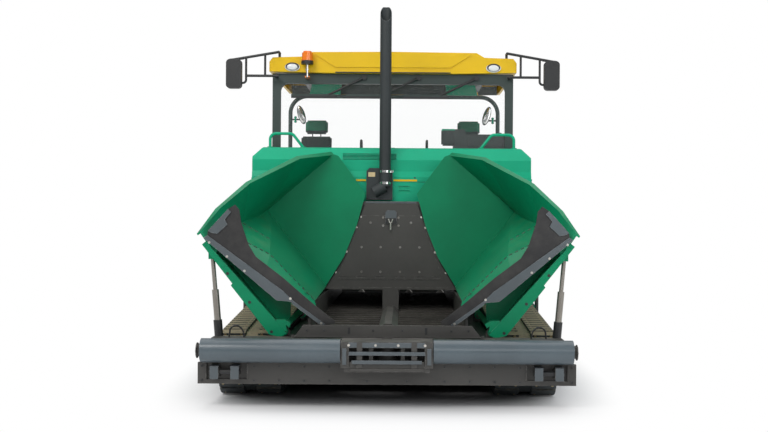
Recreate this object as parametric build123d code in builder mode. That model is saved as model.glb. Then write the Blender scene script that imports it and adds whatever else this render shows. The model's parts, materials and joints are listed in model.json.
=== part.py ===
"""A tracked asphalt paver, built from separate pieces in millimetres.

+Z is up and the machine drives towards -Y, so its own right hand is -X. The origin lies on the
ground, midway between the push rollers' front and the screed's back. A piece's place along the
machine is a distance behind the push rollers' front, which back() turns into y.
"""
from build123d import *
import os
from math import copysign, cos, hypot, radians, sin

os.makedirs("parts", exist_ok=True)

# ---------------------------------------------------------------- driving sizes
RUNNING_FIT = 0.06          # radial clearance of a pin in its bore
CURVED_SEAT = 0.3           # gap where a curved face sits against another piece
MOVING_GAP = 8.0            # clearance between pieces that move past each other
SIDES = (("right", -1), ("left", 1))
SIGNS = (-1, 1)

# tracks
TRACK_CENTRE = 1172.0       # from the machine's middle to the middle of a track
SHOE_WIDTH = 516.0
BELT_THICKNESS = 62.0       # chain link, plate and pad
SHOES = 82                  # round each track
PAD_SHARE = 0.72            # of the pitch that a pad fills
PAD_WIDTH = 205.0           # of each of a shoe's two pads
PAD_DEPTH = 24.0
TRACK_FRONT = 600.0
IDLER_OUTER = 280.0         # to the outside of the shoes
SPROCKET_OUTER = 318.0
SPROCKET_HEIGHT = 482.0
SPROCKET_DISTANCE = 4230.0
REAR_ROLLER_OUTER = 150.0
REAR_ROLLER_DISTANCE = 3790.0
TRACK_OUTER = TRACK_CENTRE + SHOE_WIDTH / 2
IDLER_DISTANCE = TRACK_FRONT + IDLER_OUTER

# push rollers, their swinging carrier and the beam behind them
ROLLER_RADIUS = 95.0
BEAM_HALF = 1510.0
ROLLER_HEIGHT = 468.0
ROLLER_INNER = 368.0
ROLLER_OUTER = BEAM_HALF - 38
AXLE_RADIUS = 30.0
CARRIER_PIVOT = 232.0       # distance of the carrier's upright pin
CARRIER_PIN_RADIUS = 45.0
BEAM_FRONT = 150.0
BEAM_PLATE = 40.0
BEAM_BOTTOM = 195.0
BEAM_SHELF = 364.0
BEAM_BACK = 470.0
BEAM_TOP = 539.0
MEMBER_FRONT = 335.0        # the cross member on top of the beam
MEMBER_HALF = BEAM_HALF - 70
BEAM_RIBS = (380.0, 860.0, MEMBER_HALF)
SHEET = 20.0                # thickness of the frame's plates

# front apron
APRON_DISTANCE = 352.0
APRON_HINGE_HEIGHT = 553.0
APRON_TOP = 647.0
APRON_THICKNESS = 14.0
APRON_HALF_TOP = 690.0
APRON_HALF_BOTTOM = 762.0
APRON_PIN_RADIUS = 5.0

# chassis
FRAME_INNER = 700.0
FRAME_OUTER = 880.0
FRAME_BOTTOM = 300.0
FRAME_TOP = 508.0
FRAME_BACK = 4950.0
TROUGH_INNER = 645.0
TROUGH_TOP = 790.0
TUNNEL_ROOF = 812.0
DIVIDER_HALF = 80.0
DECK_TOP = 1150.0
CONVEYOR_DECK = 580.0
CONVEYOR_FRONT = 525.0
SCRAPER_PITCH = 190.0
SCRAPER_SIZE = 26.0

# hopper
WING_PIN_X = 870.0
WING_PIN_Z = 575.0
WING_PIN_RADIUS = 25.0
WING_KNUCKLE_RADIUS = 36.0
WING_SHEET = 16.0
WING_FLANGE = 42.0
WING_LOWERING = 32.0        # degrees
HOPPER_FRONT = 480.0
HOPPER_BACK = 2240.0
REAR_WALL_FRONT = 2250.0
REAR_WALL_THICKNESS = 40.0
REAR_WALL_TOP = 1696.0
REAR_WALL_HALF_TOP = 274.0
REAR_WALL_HALF_BOTTOM = 730.0

# body
HOOD_FRONT = 2380.0
HOOD_BACK = 3040.0
HOOD_HALF = 1420.0
HOOD_WALL = 35.0
DECK_HALF = HOOD_HALF - HOOD_WALL
HOOD_SKIRT = 900.0
HOOD_TOP = 2250.0
LID_HALF = 860.0
LID_FRONT = 2545.0
LID_BACK = 2985.0
DOOR_FRONT = 2470.0
DOOR_BACK = 2960.0
DOOR_BOTTOM = 1190.0
DOOR_TOP = 2060.0
PLATFORM_FLOOR = 1600.0
PLATFORM_BACK = FRAME_BACK
PLATFORM_HALF = 1400.0

# roof
ROOF_FRONT = 3000.0
ROOF_BACK = 4960.0
ROOF_UNDERSIDE = 3088.0
PORTAL_DISTANCE = 3060.0
PORTAL_DEPTH = 60.0
PORTAL_OUTER = 1302.0
PORTAL_POST = 86.0
HOOP_DISTANCE = 4600.0
HOOP_RADIUS = 25.0

# augers, tow arms and screed
AUGER_DISTANCE = 5270.0
AUGER_HEIGHT = 420.0
AUGER_RADIUS = 200.0
AUGER_SHAFT = 45.0
AUGER_INNER = 95.0
AUGER_OUTER = 1290.0
AUGER_PITCH = 400.0
TOW_DISTANCE = 2650.0
TOW_HEIGHT = 560.0
TOW_INNER = TRACK_OUTER + 7.0
TOW_WIDTH = 58.0
TOW_PIN_RADIUS = 30.0
TOW_BRACKET = TOW_INNER + TOW_WIDTH + MOVING_GAP
OUTRIGGER_BOTTOM = 800.0
OUTRIGGER_TOP = 885.0
SCREED_FRONT = 5680.0
SCREED_DEPTH = 520.0
SCREED_HALF = 1488.0
SCREED_HEIGHT = 320.0
EXTENSION_GAP = 12.0
EXTENSION_DEPTH = 470.0
WALKWAY_DEPTH = 218.0
GATE_THICKNESS = 15.0
GUIDE_RADIUS = 75.0
GUIDE_HEIGHT = 450.0
LIFT_X = 1000.0
LIFT_FOOT = (5010.0, 1230.0)    # distance and height of the lift cylinders' pins
LIFT_EYE = (5900.0, 520.0)
LIFT_FORK = 34.0
LIFT_PLATE = 14.0
LIFT_PIN_RADIUS = 18.0

LENGTH = SCREED_FRONT + SCREED_DEPTH + EXTENSION_GAP + EXTENSION_DEPTH + WALKWAY_DEPTH
FRONT = -LENGTH / 2


def back(distance):
    """y of a place this far behind the push rollers' front."""
    return FRONT + distance


# ---------------------------------------------------------------- shared operations
def block(x, y, z, mode=Mode.ADD):
    """A box between two values of x, y and z."""
    with BuildSketch(Plane.XY.offset(min(z))) as base:
        with Locations(((x[0] + x[1]) / 2, (y[0] + y[1]) / 2)):
            Rectangle(abs(x[1] - x[0]), abs(y[1] - y[0]))
    extrude(base.sketch, amount=abs(z[1] - z[0]), dir=(0, 0, 1), mode=mode)


def front_plate(points, y, thickness, mode=Mode.ADD):
    """An outline in x and z, whose front face is at y."""
    with BuildSketch(Plane(origin=(0, y, 0), x_dir=(1, 0, 0), z_dir=(0, -1, 0))) as outline:
        Polygon(*points, align=None)
    extrude(outline.sketch, amount=thickness, dir=(0, 1, 0), mode=mode)


def side_plate(points, x, thickness, mode=Mode.ADD):
    """An outline in y and z at x, thickened towards the sign of its thickness."""
    with BuildSketch(Plane.YZ.offset(x)) as outline:
        Polygon(*points, align=None)
    extrude(outline.sketch, amount=abs(thickness), dir=(copysign(1, thickness), 0, 0), mode=mode)


def rod(start, end, radius, mode=Mode.ADD):
    """A round bar between two points."""
    line = Vector(*end) - Vector(*start)
    with BuildSketch(Plane(origin=start, z_dir=line)) as disc:
        Circle(radius)
    extrude(disc.sketch, amount=line.length, dir=line, mode=mode)


def bent_tube(points, bend, radius, mode=Mode.ADD):
    """A round tube along straight runs joined by arcs."""
    with BuildLine() as route:
        FilletPolyline(*points, radius=bend)
    path = route.wires()[0]
    with BuildSketch(Plane(origin=path @ 0, z_dir=path % 0)) as disc:
        Circle(radius)
    sweep(disc.sketch, path=path, mode=mode)


def mirrored(points, side):
    """The same outline on one side of the machine."""
    return [(side * x, z) for x, z in points]


def between(start, end, share):
    """The point this share of the way from one point to another."""
    return tuple(a + (b - a) * share for a, b in zip(start, end))


def finish(part, name):
    """Name a piece and write it."""
    part.label = name
    export_step(part, f"parts/{name}.step")


# ---------------------------------------------------------------- tracks
def track_outline(inset):
    """The track's loop round idler, sprocket and rear roller, this far inside its shoes."""
    circles = (
        (back(IDLER_DISTANCE), IDLER_OUTER, IDLER_OUTER - inset),
        (back(SPROCKET_DISTANCE), SPROCKET_HEIGHT, SPROCKET_OUTER - inset),
        (back(REAR_ROLLER_DISTANCE), REAR_ROLLER_OUTER, REAR_ROLLER_OUTER - inset),
    )
    with BuildSketch(Plane.YZ) as loop:
        for y, z, radius in circles:
            with Locations((y, z)):
                Circle(radius)
        make_hull()
    return loop.sketch


def shoe_points(reach):
    """Corners of the pads round the loop, with the gaps between them this deep."""
    loop = track_outline(0).faces()[0].outer_wire()
    middle = loop.center()
    points = []
    for index in range(SHOES):
        for share, order in ((-PAD_SHARE / 2, 1), (PAD_SHARE / 2, -1)):
            place = ((index + 0.5 + share) / SHOES) % 1
            outer = loop @ place
            along = loop % place
            inward = Vector(0, -along.Z, along.Y)
            if inward.dot(middle - outer) < 0:
                inward = inward * -1
            pair = [outer + inward * PAD_DEPTH, outer + inward * (PAD_DEPTH - reach)]
            points.extend(pair[::order])
    return [(point.Y, point.Z) for point in points]


for name, side in SIDES:
    with BuildPart() as track:
        start = side * TRACK_CENTRE - SHOE_WIDTH / 2
        for offset in (0, SHOE_WIDTH - PAD_WIDTH):
            side_plate(shoe_points(PAD_DEPTH), start + offset, PAD_WIDTH)
        side_plate(shoe_points(0)[::2], start + PAD_WIDTH, SHOE_WIDTH - 2 * PAD_WIDTH)
        extrude(Location((start, 0, 0)) * track_outline(BELT_THICKNESS), amount=SHOE_WIDTH,
                dir=(1, 0, 0), mode=Mode.SUBTRACT)
    finish(track.part, f"track_{name}")

WHEEL_WIDTH = 150.0
GUARD_HALF = 175.0
LOWER_ROLLER_RADIUS = 80.0
LOWER_ROLLERS = 8
TRACK_BEAM_BOTTOM = 190.0
TRACK_BEAM_TOP = 400.0
with BuildPart() as track_frames:
    for side in SIGNS:
        middle = side * TRACK_CENTRE
        wheel = (middle - WHEEL_WIDTH / 2, middle + WHEEL_WIDTH / 2)
        guard = (middle - GUARD_HALF, middle + GUARD_HALF)
        seat = BELT_THICKNESS + CURVED_SEAT
        beam_front = IDLER_DISTANCE - 60
        beam_back = SPROCKET_DISTANCE - 60
        side_plate(
            [
                (back(beam_front), TRACK_BEAM_BOTTOM),
                (back(REAR_ROLLER_DISTANCE - 100), TRACK_BEAM_BOTTOM),
                (back(beam_back), SPROCKET_HEIGHT - 120),
                (back(beam_back), SPROCKET_HEIGHT + 90),
                (back(REAR_ROLLER_DISTANCE - 200), TRACK_BEAM_TOP + 40),
                (back(beam_front), TRACK_BEAM_TOP - 60),
            ],
            guard[0], 2 * GUARD_HALF,
        )
        wheels = [
            (IDLER_DISTANCE, IDLER_OUTER, IDLER_OUTER - seat),
            (SPROCKET_DISTANCE, SPROCKET_HEIGHT, SPROCKET_OUTER - seat),
            (REAR_ROLLER_DISTANCE, REAR_ROLLER_OUTER, REAR_ROLLER_OUTER - seat),
        ]
        first_roller = IDLER_DISTANCE + 330
        step = (REAR_ROLLER_DISTANCE - 260 - first_roller) / (LOWER_ROLLERS - 1)
        for index in range(LOWER_ROLLERS):
            wheels.append((first_roller + index * step, seat + LOWER_ROLLER_RADIUS,
                           LOWER_ROLLER_RADIUS))
        for distance, height, radius in wheels:
            rod((wheel[0], back(distance), height), (wheel[1], back(distance), height), radius)
        block((side * FRAME_OUTER, side * (TRACK_CENTRE - GUARD_HALF + 5)),
              (back(1500), back(1700)), (TRACK_BEAM_TOP - 190, TRACK_BEAM_TOP - 40))
        block((side * FRAME_OUTER, side * (TRACK_CENTRE - GUARD_HALF + 5)),
              (back(3300), back(3500)), (TRACK_BEAM_TOP - 190, TRACK_BEAM_TOP - 40))
finish(track_frames.part, "track_frames")

# ---------------------------------------------------------------- chassis
LUG_THICKNESS = 25.0
KNUCKLE_LENGTH = 60.0
KNUCKLE_FRONTS = (508.0, 2080.0)
with BuildPart() as chassis:
    for side in SIGNS:
        block((side * FRAME_INNER, side * FRAME_OUTER), (back(BEAM_BACK), back(FRAME_BACK)),
              (FRAME_BOTTOM, FRAME_TOP))
        block((side * TROUGH_INNER, side * (TROUGH_INNER + SHEET)),
              (back(CONVEYOR_FRONT), back(FRAME_BACK)), (FRAME_BOTTOM, 690))
        block((side * TROUGH_INNER, side * (TROUGH_INNER + SHEET)),
              (back(820), back(FRAME_BACK)), (FRAME_BOTTOM, TROUGH_TOP))
        block((side * TROUGH_INNER, side * FRAME_INNER), (back(CONVEYOR_FRONT), back(FRAME_BACK)),
              (FRAME_BOTTOM, FRAME_BOTTOM + SHEET))
        block((side * FRAME_INNER, side * (FRAME_INNER + 40)),
              (back(REAR_WALL_FRONT), back(FRAME_BACK)), (FRAME_TOP - 20, TUNNEL_ROOF + SHEET))
        block((side * FRAME_INNER, side * (FRAME_INNER + 40)),
              (back(HOOD_FRONT + HOOD_WALL), back(FRAME_BACK)), (FRAME_TOP - 20, DECK_TOP))
        for front in KNUCKLE_FRONTS:
            rear = front + KNUCKLE_LENGTH + MOVING_GAP
            front_plate(
                mirrored(
                    [
                        (WING_PIN_X - 48, FRAME_TOP - 30),
                        (WING_PIN_X + 10, FRAME_TOP - 30),
                        (WING_PIN_X + 34, WING_PIN_Z),
                        (WING_PIN_X + 20, WING_PIN_Z + 34),
                        (WING_PIN_X - 20, WING_PIN_Z + 34),
                        (WING_PIN_X - 48, WING_PIN_Z),
                    ],
                    side,
                ),
                back(rear), LUG_THICKNESS,
            )
            rod((side * WING_PIN_X, back(front), WING_PIN_Z),
                (side * WING_PIN_X, back(rear + 5), WING_PIN_Z), WING_PIN_RADIUS)
        # outrigger that carries the tow point outside the track
        block((side * (FRAME_INNER + 30), side * (TOW_INNER + TOW_WIDTH + 30)),
              (back(TOW_DISTANCE - 90), back(TOW_DISTANCE + 60)), (OUTRIGGER_BOTTOM, OUTRIGGER_TOP))
        side_plate(
            [
                (back(TOW_DISTANCE - 90), OUTRIGGER_TOP),
                (back(TOW_DISTANCE + 60), OUTRIGGER_TOP),
                (back(TOW_DISTANCE + 60), TOW_HEIGHT - 60),
                (back(TOW_DISTANCE - 90), TOW_HEIGHT - 60),
            ],
            side * TOW_BRACKET, side * 22,
        )
        rod((side * (TOW_INNER + 4), back(TOW_DISTANCE), TOW_HEIGHT),
            (side * (TOW_BRACKET + 5), back(TOW_DISTANCE), TOW_HEIGHT), TOW_PIN_RADIUS)
        for x in (LIFT_X - LIFT_FORK - LIFT_PLATE, LIFT_X + LIFT_FORK):
            side_plate(
                [(back(FRAME_BACK - 20), DECK_TOP - 23), (back(LIFT_FOOT[0] + 40), LIFT_FOOT[1] - 40),
                 (back(LIFT_FOOT[0] + 40), LIFT_FOOT[1] + 32), (back(FRAME_BACK), LIFT_FOOT[1] + 60),
                 (back(FRAME_BACK), DECK_TOP), (back(FRAME_BACK - 20), DECK_TOP)],
                side * x, side * LIFT_PLATE,
            )
        rod((side * (LIFT_X - LIFT_FORK - 5), back(LIFT_FOOT[0]), LIFT_FOOT[1]),
            (side * (LIFT_X + LIFT_FORK + 5), back(LIFT_FOOT[0]), LIFT_FOOT[1]), LIFT_PIN_RADIUS)
    block((-TROUGH_INNER, TROUGH_INNER), (back(CONVEYOR_FRONT + 200), back(FRAME_BACK)),
          (FRAME_BOTTOM, FRAME_BOTTOM + SHEET))
    block((-FRAME_OUTER, FRAME_OUTER), (back(BEAM_BACK), back(CONVEYOR_FRONT)),
          (FRAME_BOTTOM, 420))
    block((-FRAME_INNER, FRAME_INNER), (back(REAR_WALL_FRONT), back(FRAME_BACK)),
          (TUNNEL_ROOF, TUNNEL_ROOF + SHEET))
    block((-DECK_HALF, DECK_HALF), (back(HOOD_FRONT + HOOD_WALL), back(FRAME_BACK)),
          (DECK_TOP - 25, DECK_TOP))
    # divider between the two conveyors
    block((-DIVIDER_HALF, DIVIDER_HALF), (back(REAR_WALL_FRONT), back(FRAME_BACK)),
          (FRAME_BOTTOM, TUNNEL_ROOF + 1))
    front_plate(
        [(-DIVIDER_HALF, FRAME_BOTTOM), (DIVIDER_HALF, FRAME_BOTTOM), (DIVIDER_HALF, 600),
         (30, 645), (-30, 645), (-DIVIDER_HALF, 600)],
        back(CONVEYOR_FRONT - 10), REAR_WALL_FRONT - CONVEYOR_FRONT + 20,
    )
finish(chassis.part, "chassis_frame")

with BuildPart() as conveyors:
    for side in SIGNS:
        inner = DIVIDER_HALF + 5
        outer = TROUGH_INNER - 5
        run = FRAME_BACK - CONVEYOR_FRONT
        block((side * DIVIDER_HALF, side * TROUGH_INNER),
              (back(CONVEYOR_FRONT + 10), back(FRAME_BACK)), (CONVEYOR_DECK - 18, CONVEYOR_DECK))
        for index in range(int(run / SCRAPER_PITCH)):
            start = CONVEYOR_FRONT + 60 + index * SCRAPER_PITCH
            block((side * inner, side * outer), (back(start), back(start + SCRAPER_SIZE)),
                  (CONVEYOR_DECK - 1, CONVEYOR_DECK + SCRAPER_SIZE))
finish(conveyors.part, "conveyors")

# ---------------------------------------------------------------- push beam, carrier and rollers
CYLINDER_DISTANCE = 545.0
CYLINDER_FOOT_X = BEAM_HALF - 115
CYLINDER_FOOT_Z = 330.0
CYLINDER_EYE_X = 1470.0
CYLINDER_EYE_Z = 1200.0
CYLINDER_PIN_RADIUS = 15.0
FORK_GAP = 50.0
FORK_PLATE = 12.0
TOW_LUGS = (BEAM_HALF - 305, BEAM_HALF - 180)     # x where the tow lugs start
TOW_LUG_THICKNESS = 30.0
TOW_LUG_HOLE = 22.0
TOW_LUG_REACH = 34.0            # from the beam's face to the hole
TOW_LUG_HEIGHT = 296.0
TOW_RECESS = (BEAM_HALF - 401, BEAM_HALF - 65)
TOW_RECESS_DEPTH = 22.0
with BuildPart() as beam:
    block((-BEAM_HALF, BEAM_HALF), (back(BEAM_FRONT), back(BEAM_FRONT + BEAM_PLATE)),
          (BEAM_BOTTOM, BEAM_SHELF))
    for side in SIGNS:
        block((side * TOW_RECESS[0], side * TOW_RECESS[1]),
              (back(BEAM_FRONT - 1), back(BEAM_FRONT + TOW_RECESS_DEPTH)), (230, 358),
              mode=Mode.SUBTRACT)
        for start in TOW_LUGS:
            hole = back(BEAM_FRONT - TOW_LUG_REACH)
            block((side * start, side * (start + TOW_LUG_THICKNESS)),
                  (hole, back(BEAM_FRONT + TOW_RECESS_DEPTH + 5)),
                  (TOW_LUG_HEIGHT - 42, TOW_LUG_HEIGHT + 42))
            rod((side * start, hole, TOW_LUG_HEIGHT),
                (side * (start + TOW_LUG_THICKNESS), hole, TOW_LUG_HEIGHT), 42)
            rod((side * (start - 5), hole, TOW_LUG_HEIGHT),
                (side * (start + TOW_LUG_THICKNESS + 5), hole, TOW_LUG_HEIGHT), TOW_LUG_HOLE,
                mode=Mode.SUBTRACT)
    block((-BEAM_HALF + 10, BEAM_HALF - 10), (back(BEAM_FRONT + 10), back(BEAM_BACK)),
          (BEAM_BOTTOM, BEAM_BOTTOM + SHEET))
    block((-BEAM_HALF + 10, BEAM_HALF - 10), (back(BEAM_FRONT + 10), back(BEAM_BACK)),
          (BEAM_SHELF - SHEET, BEAM_SHELF))
    block((-BEAM_HALF + 10, BEAM_HALF - 10), (back(BEAM_BACK - SHEET), back(BEAM_BACK)),
          (BEAM_BOTTOM, BEAM_SHELF))
    for side in SIGNS:
        for x in BEAM_RIBS:
            block((side * x, side * (x - SHEET)), (back(BEAM_FRONT + 20), back(BEAM_BACK - 10)),
                  (BEAM_BOTTOM, BEAM_SHELF))
        fork = (CYLINDER_DISTANCE - FORK_GAP / 2 - FORK_PLATE, CYLINDER_DISTANCE + FORK_GAP / 2)
        block((side * (CYLINDER_FOOT_X - 40), side * (CYLINDER_FOOT_X + 40)),
              (back(BEAM_BACK - 5), back(fork[1] + FORK_PLATE)),
              (CYLINDER_FOOT_Z - 62, CYLINDER_FOOT_Z - 46))
        for start in fork:
            block((side * (CYLINDER_FOOT_X - 34), side * (CYLINDER_FOOT_X + 34)),
                  (back(start), back(start + FORK_PLATE)),
                  (CYLINDER_FOOT_Z - 60, CYLINDER_FOOT_Z + 28))
        rod((side * CYLINDER_FOOT_X, back(fork[0]), CYLINDER_FOOT_Z),
            (side * CYLINDER_FOOT_X, back(fork[1] + FORK_PLATE), CYLINDER_FOOT_Z),
            CYLINDER_PIN_RADIUS)
    rod((0, back(CARRIER_PIVOT), BEAM_SHELF - 5), (0, back(CARRIER_PIVOT), 545),
        CARRIER_PIN_RADIUS)
finish(beam.part, "push_beam")

with BuildPart() as cross_member:
    span = (-MEMBER_HALF, MEMBER_HALF)
    block(span, (back(MEMBER_FRONT), back(MEMBER_FRONT + SHEET)), (BEAM_SHELF, BEAM_TOP))
    block(span, (back(BEAM_BACK - SHEET), back(BEAM_BACK)), (BEAM_SHELF, BEAM_TOP))
    block(span, (back(MEMBER_FRONT), back(BEAM_BACK)), (BEAM_TOP - SHEET, BEAM_TOP))
    for side in SIGNS:
        for x in BEAM_RIBS:
            block((side * x, side * (x - SHEET)), (back(MEMBER_FRONT + 10), back(BEAM_BACK - 10)),
                  (BEAM_SHELF, BEAM_TOP - 5))
        block((side * (APRON_HALF_BOTTOM + 4), side * (APRON_HALF_BOTTOM + 26)),
              (back(APRON_DISTANCE - 12), back(APRON_DISTANCE + 12)),
              (BEAM_TOP - 5, APRON_HINGE_HEIGHT + 12))
        rod((side * (APRON_HALF_BOTTOM - 40), back(APRON_DISTANCE), APRON_HINGE_HEIGHT),
            (side * (APRON_HALF_BOTTOM + 10), back(APRON_DISTANCE), APRON_HINGE_HEIGHT),
            APRON_PIN_RADIUS)
finish(cross_member.part, "cross_member")

CARRIER_TOP = 552.0
CARRIER_END = BEAM_HALF - 12
with BuildPart() as carrier:
    block((-362, 362), (back(22), back(300)), (503, CARRIER_TOP))
    rod((0, back(CARRIER_PIVOT), BEAM_SHELF + MOVING_GAP), (0, back(CARRIER_PIVOT), CARRIER_TOP),
        85)
    block((-335, 335), (back(30), back(105)), (310, 347))
    block((-295, 295), (back(30), back(125)), (347, 393))
    for side in SIGNS:
        block((side * 140, side * 110), (back(40), back(190)), (375, 510))
        block((side * 300, side * 320), (back(30), back(120)), (330, 510))
        block((side * 340, side * 360), (back(45), back(245)), (425, 515))
        block((side * 355, side * CARRIER_END), (back(205), back(245)), (425, 515))
        block((side * (CARRIER_END - SHEET), side * CARRIER_END), (back(55), back(245)), (425, 515))
        rod((side * 345, back(ROLLER_RADIUS), ROLLER_HEIGHT),
            (side * (CARRIER_END - 8), back(ROLLER_RADIUS), ROLLER_HEIGHT), AXLE_RADIUS)
    rod((0, back(CARRIER_PIVOT), 0), (0, back(CARRIER_PIVOT), 600),
        CARRIER_PIN_RADIUS + RUNNING_FIT, mode=Mode.SUBTRACT)
finish(carrier.part, "roller_carrier")

for name, side in SIDES:
    with BuildPart() as roller:
        rod((side * ROLLER_INNER, back(ROLLER_RADIUS), ROLLER_HEIGHT),
            (side * ROLLER_OUTER, back(ROLLER_RADIUS), ROLLER_HEIGHT), ROLLER_RADIUS)
        rod((side * (ROLLER_INNER - 1), back(ROLLER_RADIUS), ROLLER_HEIGHT),
            (side * (ROLLER_OUTER + 1), back(ROLLER_RADIUS), ROLLER_HEIGHT),
            AXLE_RADIUS + RUNNING_FIT, mode=Mode.SUBTRACT)
    finish(roller.part, f"push_roller_{name}")

with BuildPart() as apron:
    front_plate(
        [(-APRON_HALF_BOTTOM, APRON_HINGE_HEIGHT), (APRON_HALF_BOTTOM, APRON_HINGE_HEIGHT),
         (APRON_HALF_TOP, APRON_TOP), (-APRON_HALF_TOP, APRON_TOP)],
        back(APRON_DISTANCE - APRON_THICKNESS / 2), APRON_THICKNESS,
    )
    rod((-APRON_HALF_BOTTOM, back(APRON_DISTANCE), APRON_HINGE_HEIGHT),
        (APRON_HALF_BOTTOM, back(APRON_DISTANCE), APRON_HINGE_HEIGHT), APRON_PIN_RADIUS + 3)
    for side in SIGNS:
        rod((side * (APRON_HALF_BOTTOM - 42), back(APRON_DISTANCE), APRON_HINGE_HEIGHT),
            (side * (APRON_HALF_BOTTOM + 5), back(APRON_DISTANCE), APRON_HINGE_HEIGHT),
            APRON_PIN_RADIUS + RUNNING_FIT, mode=Mode.SUBTRACT)
finish(apron.part, "front_apron")

# ---------------------------------------------------------------- hopper wings
# Each row is one section of the left wing: its distance, then x and z of the inner edge, the
# floor's fold, the foot of the side wall and the rim.
WING_ROWS = (
    (HOPPER_FRONT, (560, 656), (1040, 999), (1500, 1327), (1557, 1408)),
    (760.0, (632, 812), (1019, 1207), (1426, 1416), (1450, 1600)),
    (1300.0, (637, 823), (1085, 1325), (1351, 1476), (1270, 1838)),
    (1900.0, (641, 836), (1160, 1470), (1267, 1542), (881, 2098)),
    (HOPPER_BACK, (645, 846), (1200, 1552), (1235, 1605), (575, 2158)),
)
BULKHEAD_PEAK = (531, 2147)
BULKHEAD_EDGE = ((257, 1773), (344, 1450), (469, 1138))
STRIP_THICKNESS = 10.0
FLAP_THICKNESS = 12.0
STRIP_FRONT = HOPPER_FRONT - STRIP_THICKNESS - FLAP_THICKNESS
BAR_THICKNESS = 20.0
RIB_DISTANCE = 760.0
REAR_RIB_DISTANCE = KNUCKLE_FRONTS[1] + 20


def offset_path(points, distance):
    """The points moved to the right of their path by a distance, with mitred corners."""
    normals = []
    for (x0, z0), (x1, z1) in zip(points, points[1:]):
        run = hypot(x1 - x0, z1 - z0)
        normals.append(((z1 - z0) / run, -(x1 - x0) / run))
    moved = []
    for index, (x, z) in enumerate(points):
        first = normals[max(index - 1, 0)]
        second = normals[min(index, len(normals) - 1)]
        share = distance / (1 + first[0] * second[0] + first[1] * second[1])
        moved.append((x + (first[0] + second[0]) * share, z + (first[1] + second[1]) * share))
    return moved


def wing_section(points, side):
    """A strip of sheet along a section's points, with a flange turned out at the rim."""
    outer = offset_path(points, WING_SHEET)
    (x0, z0), (x1, z1) = points[-2:]
    run = hypot(x1 - x0, z1 - z0)
    up = ((x1 - x0) / run, (z1 - z0) / run)
    out = (up[1], -up[0])
    tip = (x1 + out[0] * WING_FLANGE, z1 + out[1] * WING_FLANGE)
    under = (tip[0] - up[0] * WING_SHEET, tip[1] - up[1] * WING_SHEET)
    root = (outer[-1][0] - up[0] * WING_SHEET, outer[-1][1] - up[1] * WING_SHEET)
    return mirrored([*points, tip, under, root, *reversed(outer[:-1])], side)


def wing_plate(points, side, distance, thickness):
    """A plate of one wing, from the outline of the left one."""
    front_plate(mirrored(points, side), back(distance), thickness)


def raised(offsets):
    """Points given from the hinge pin with the left wing lowered, turned up to the folded wing."""
    turn = radians(WING_LOWERING)
    return [(WING_PIN_X + x * cos(turn) - z * sin(turn),
             WING_PIN_Z + x * sin(turn) + z * cos(turn)) for x, z in offsets]


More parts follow.
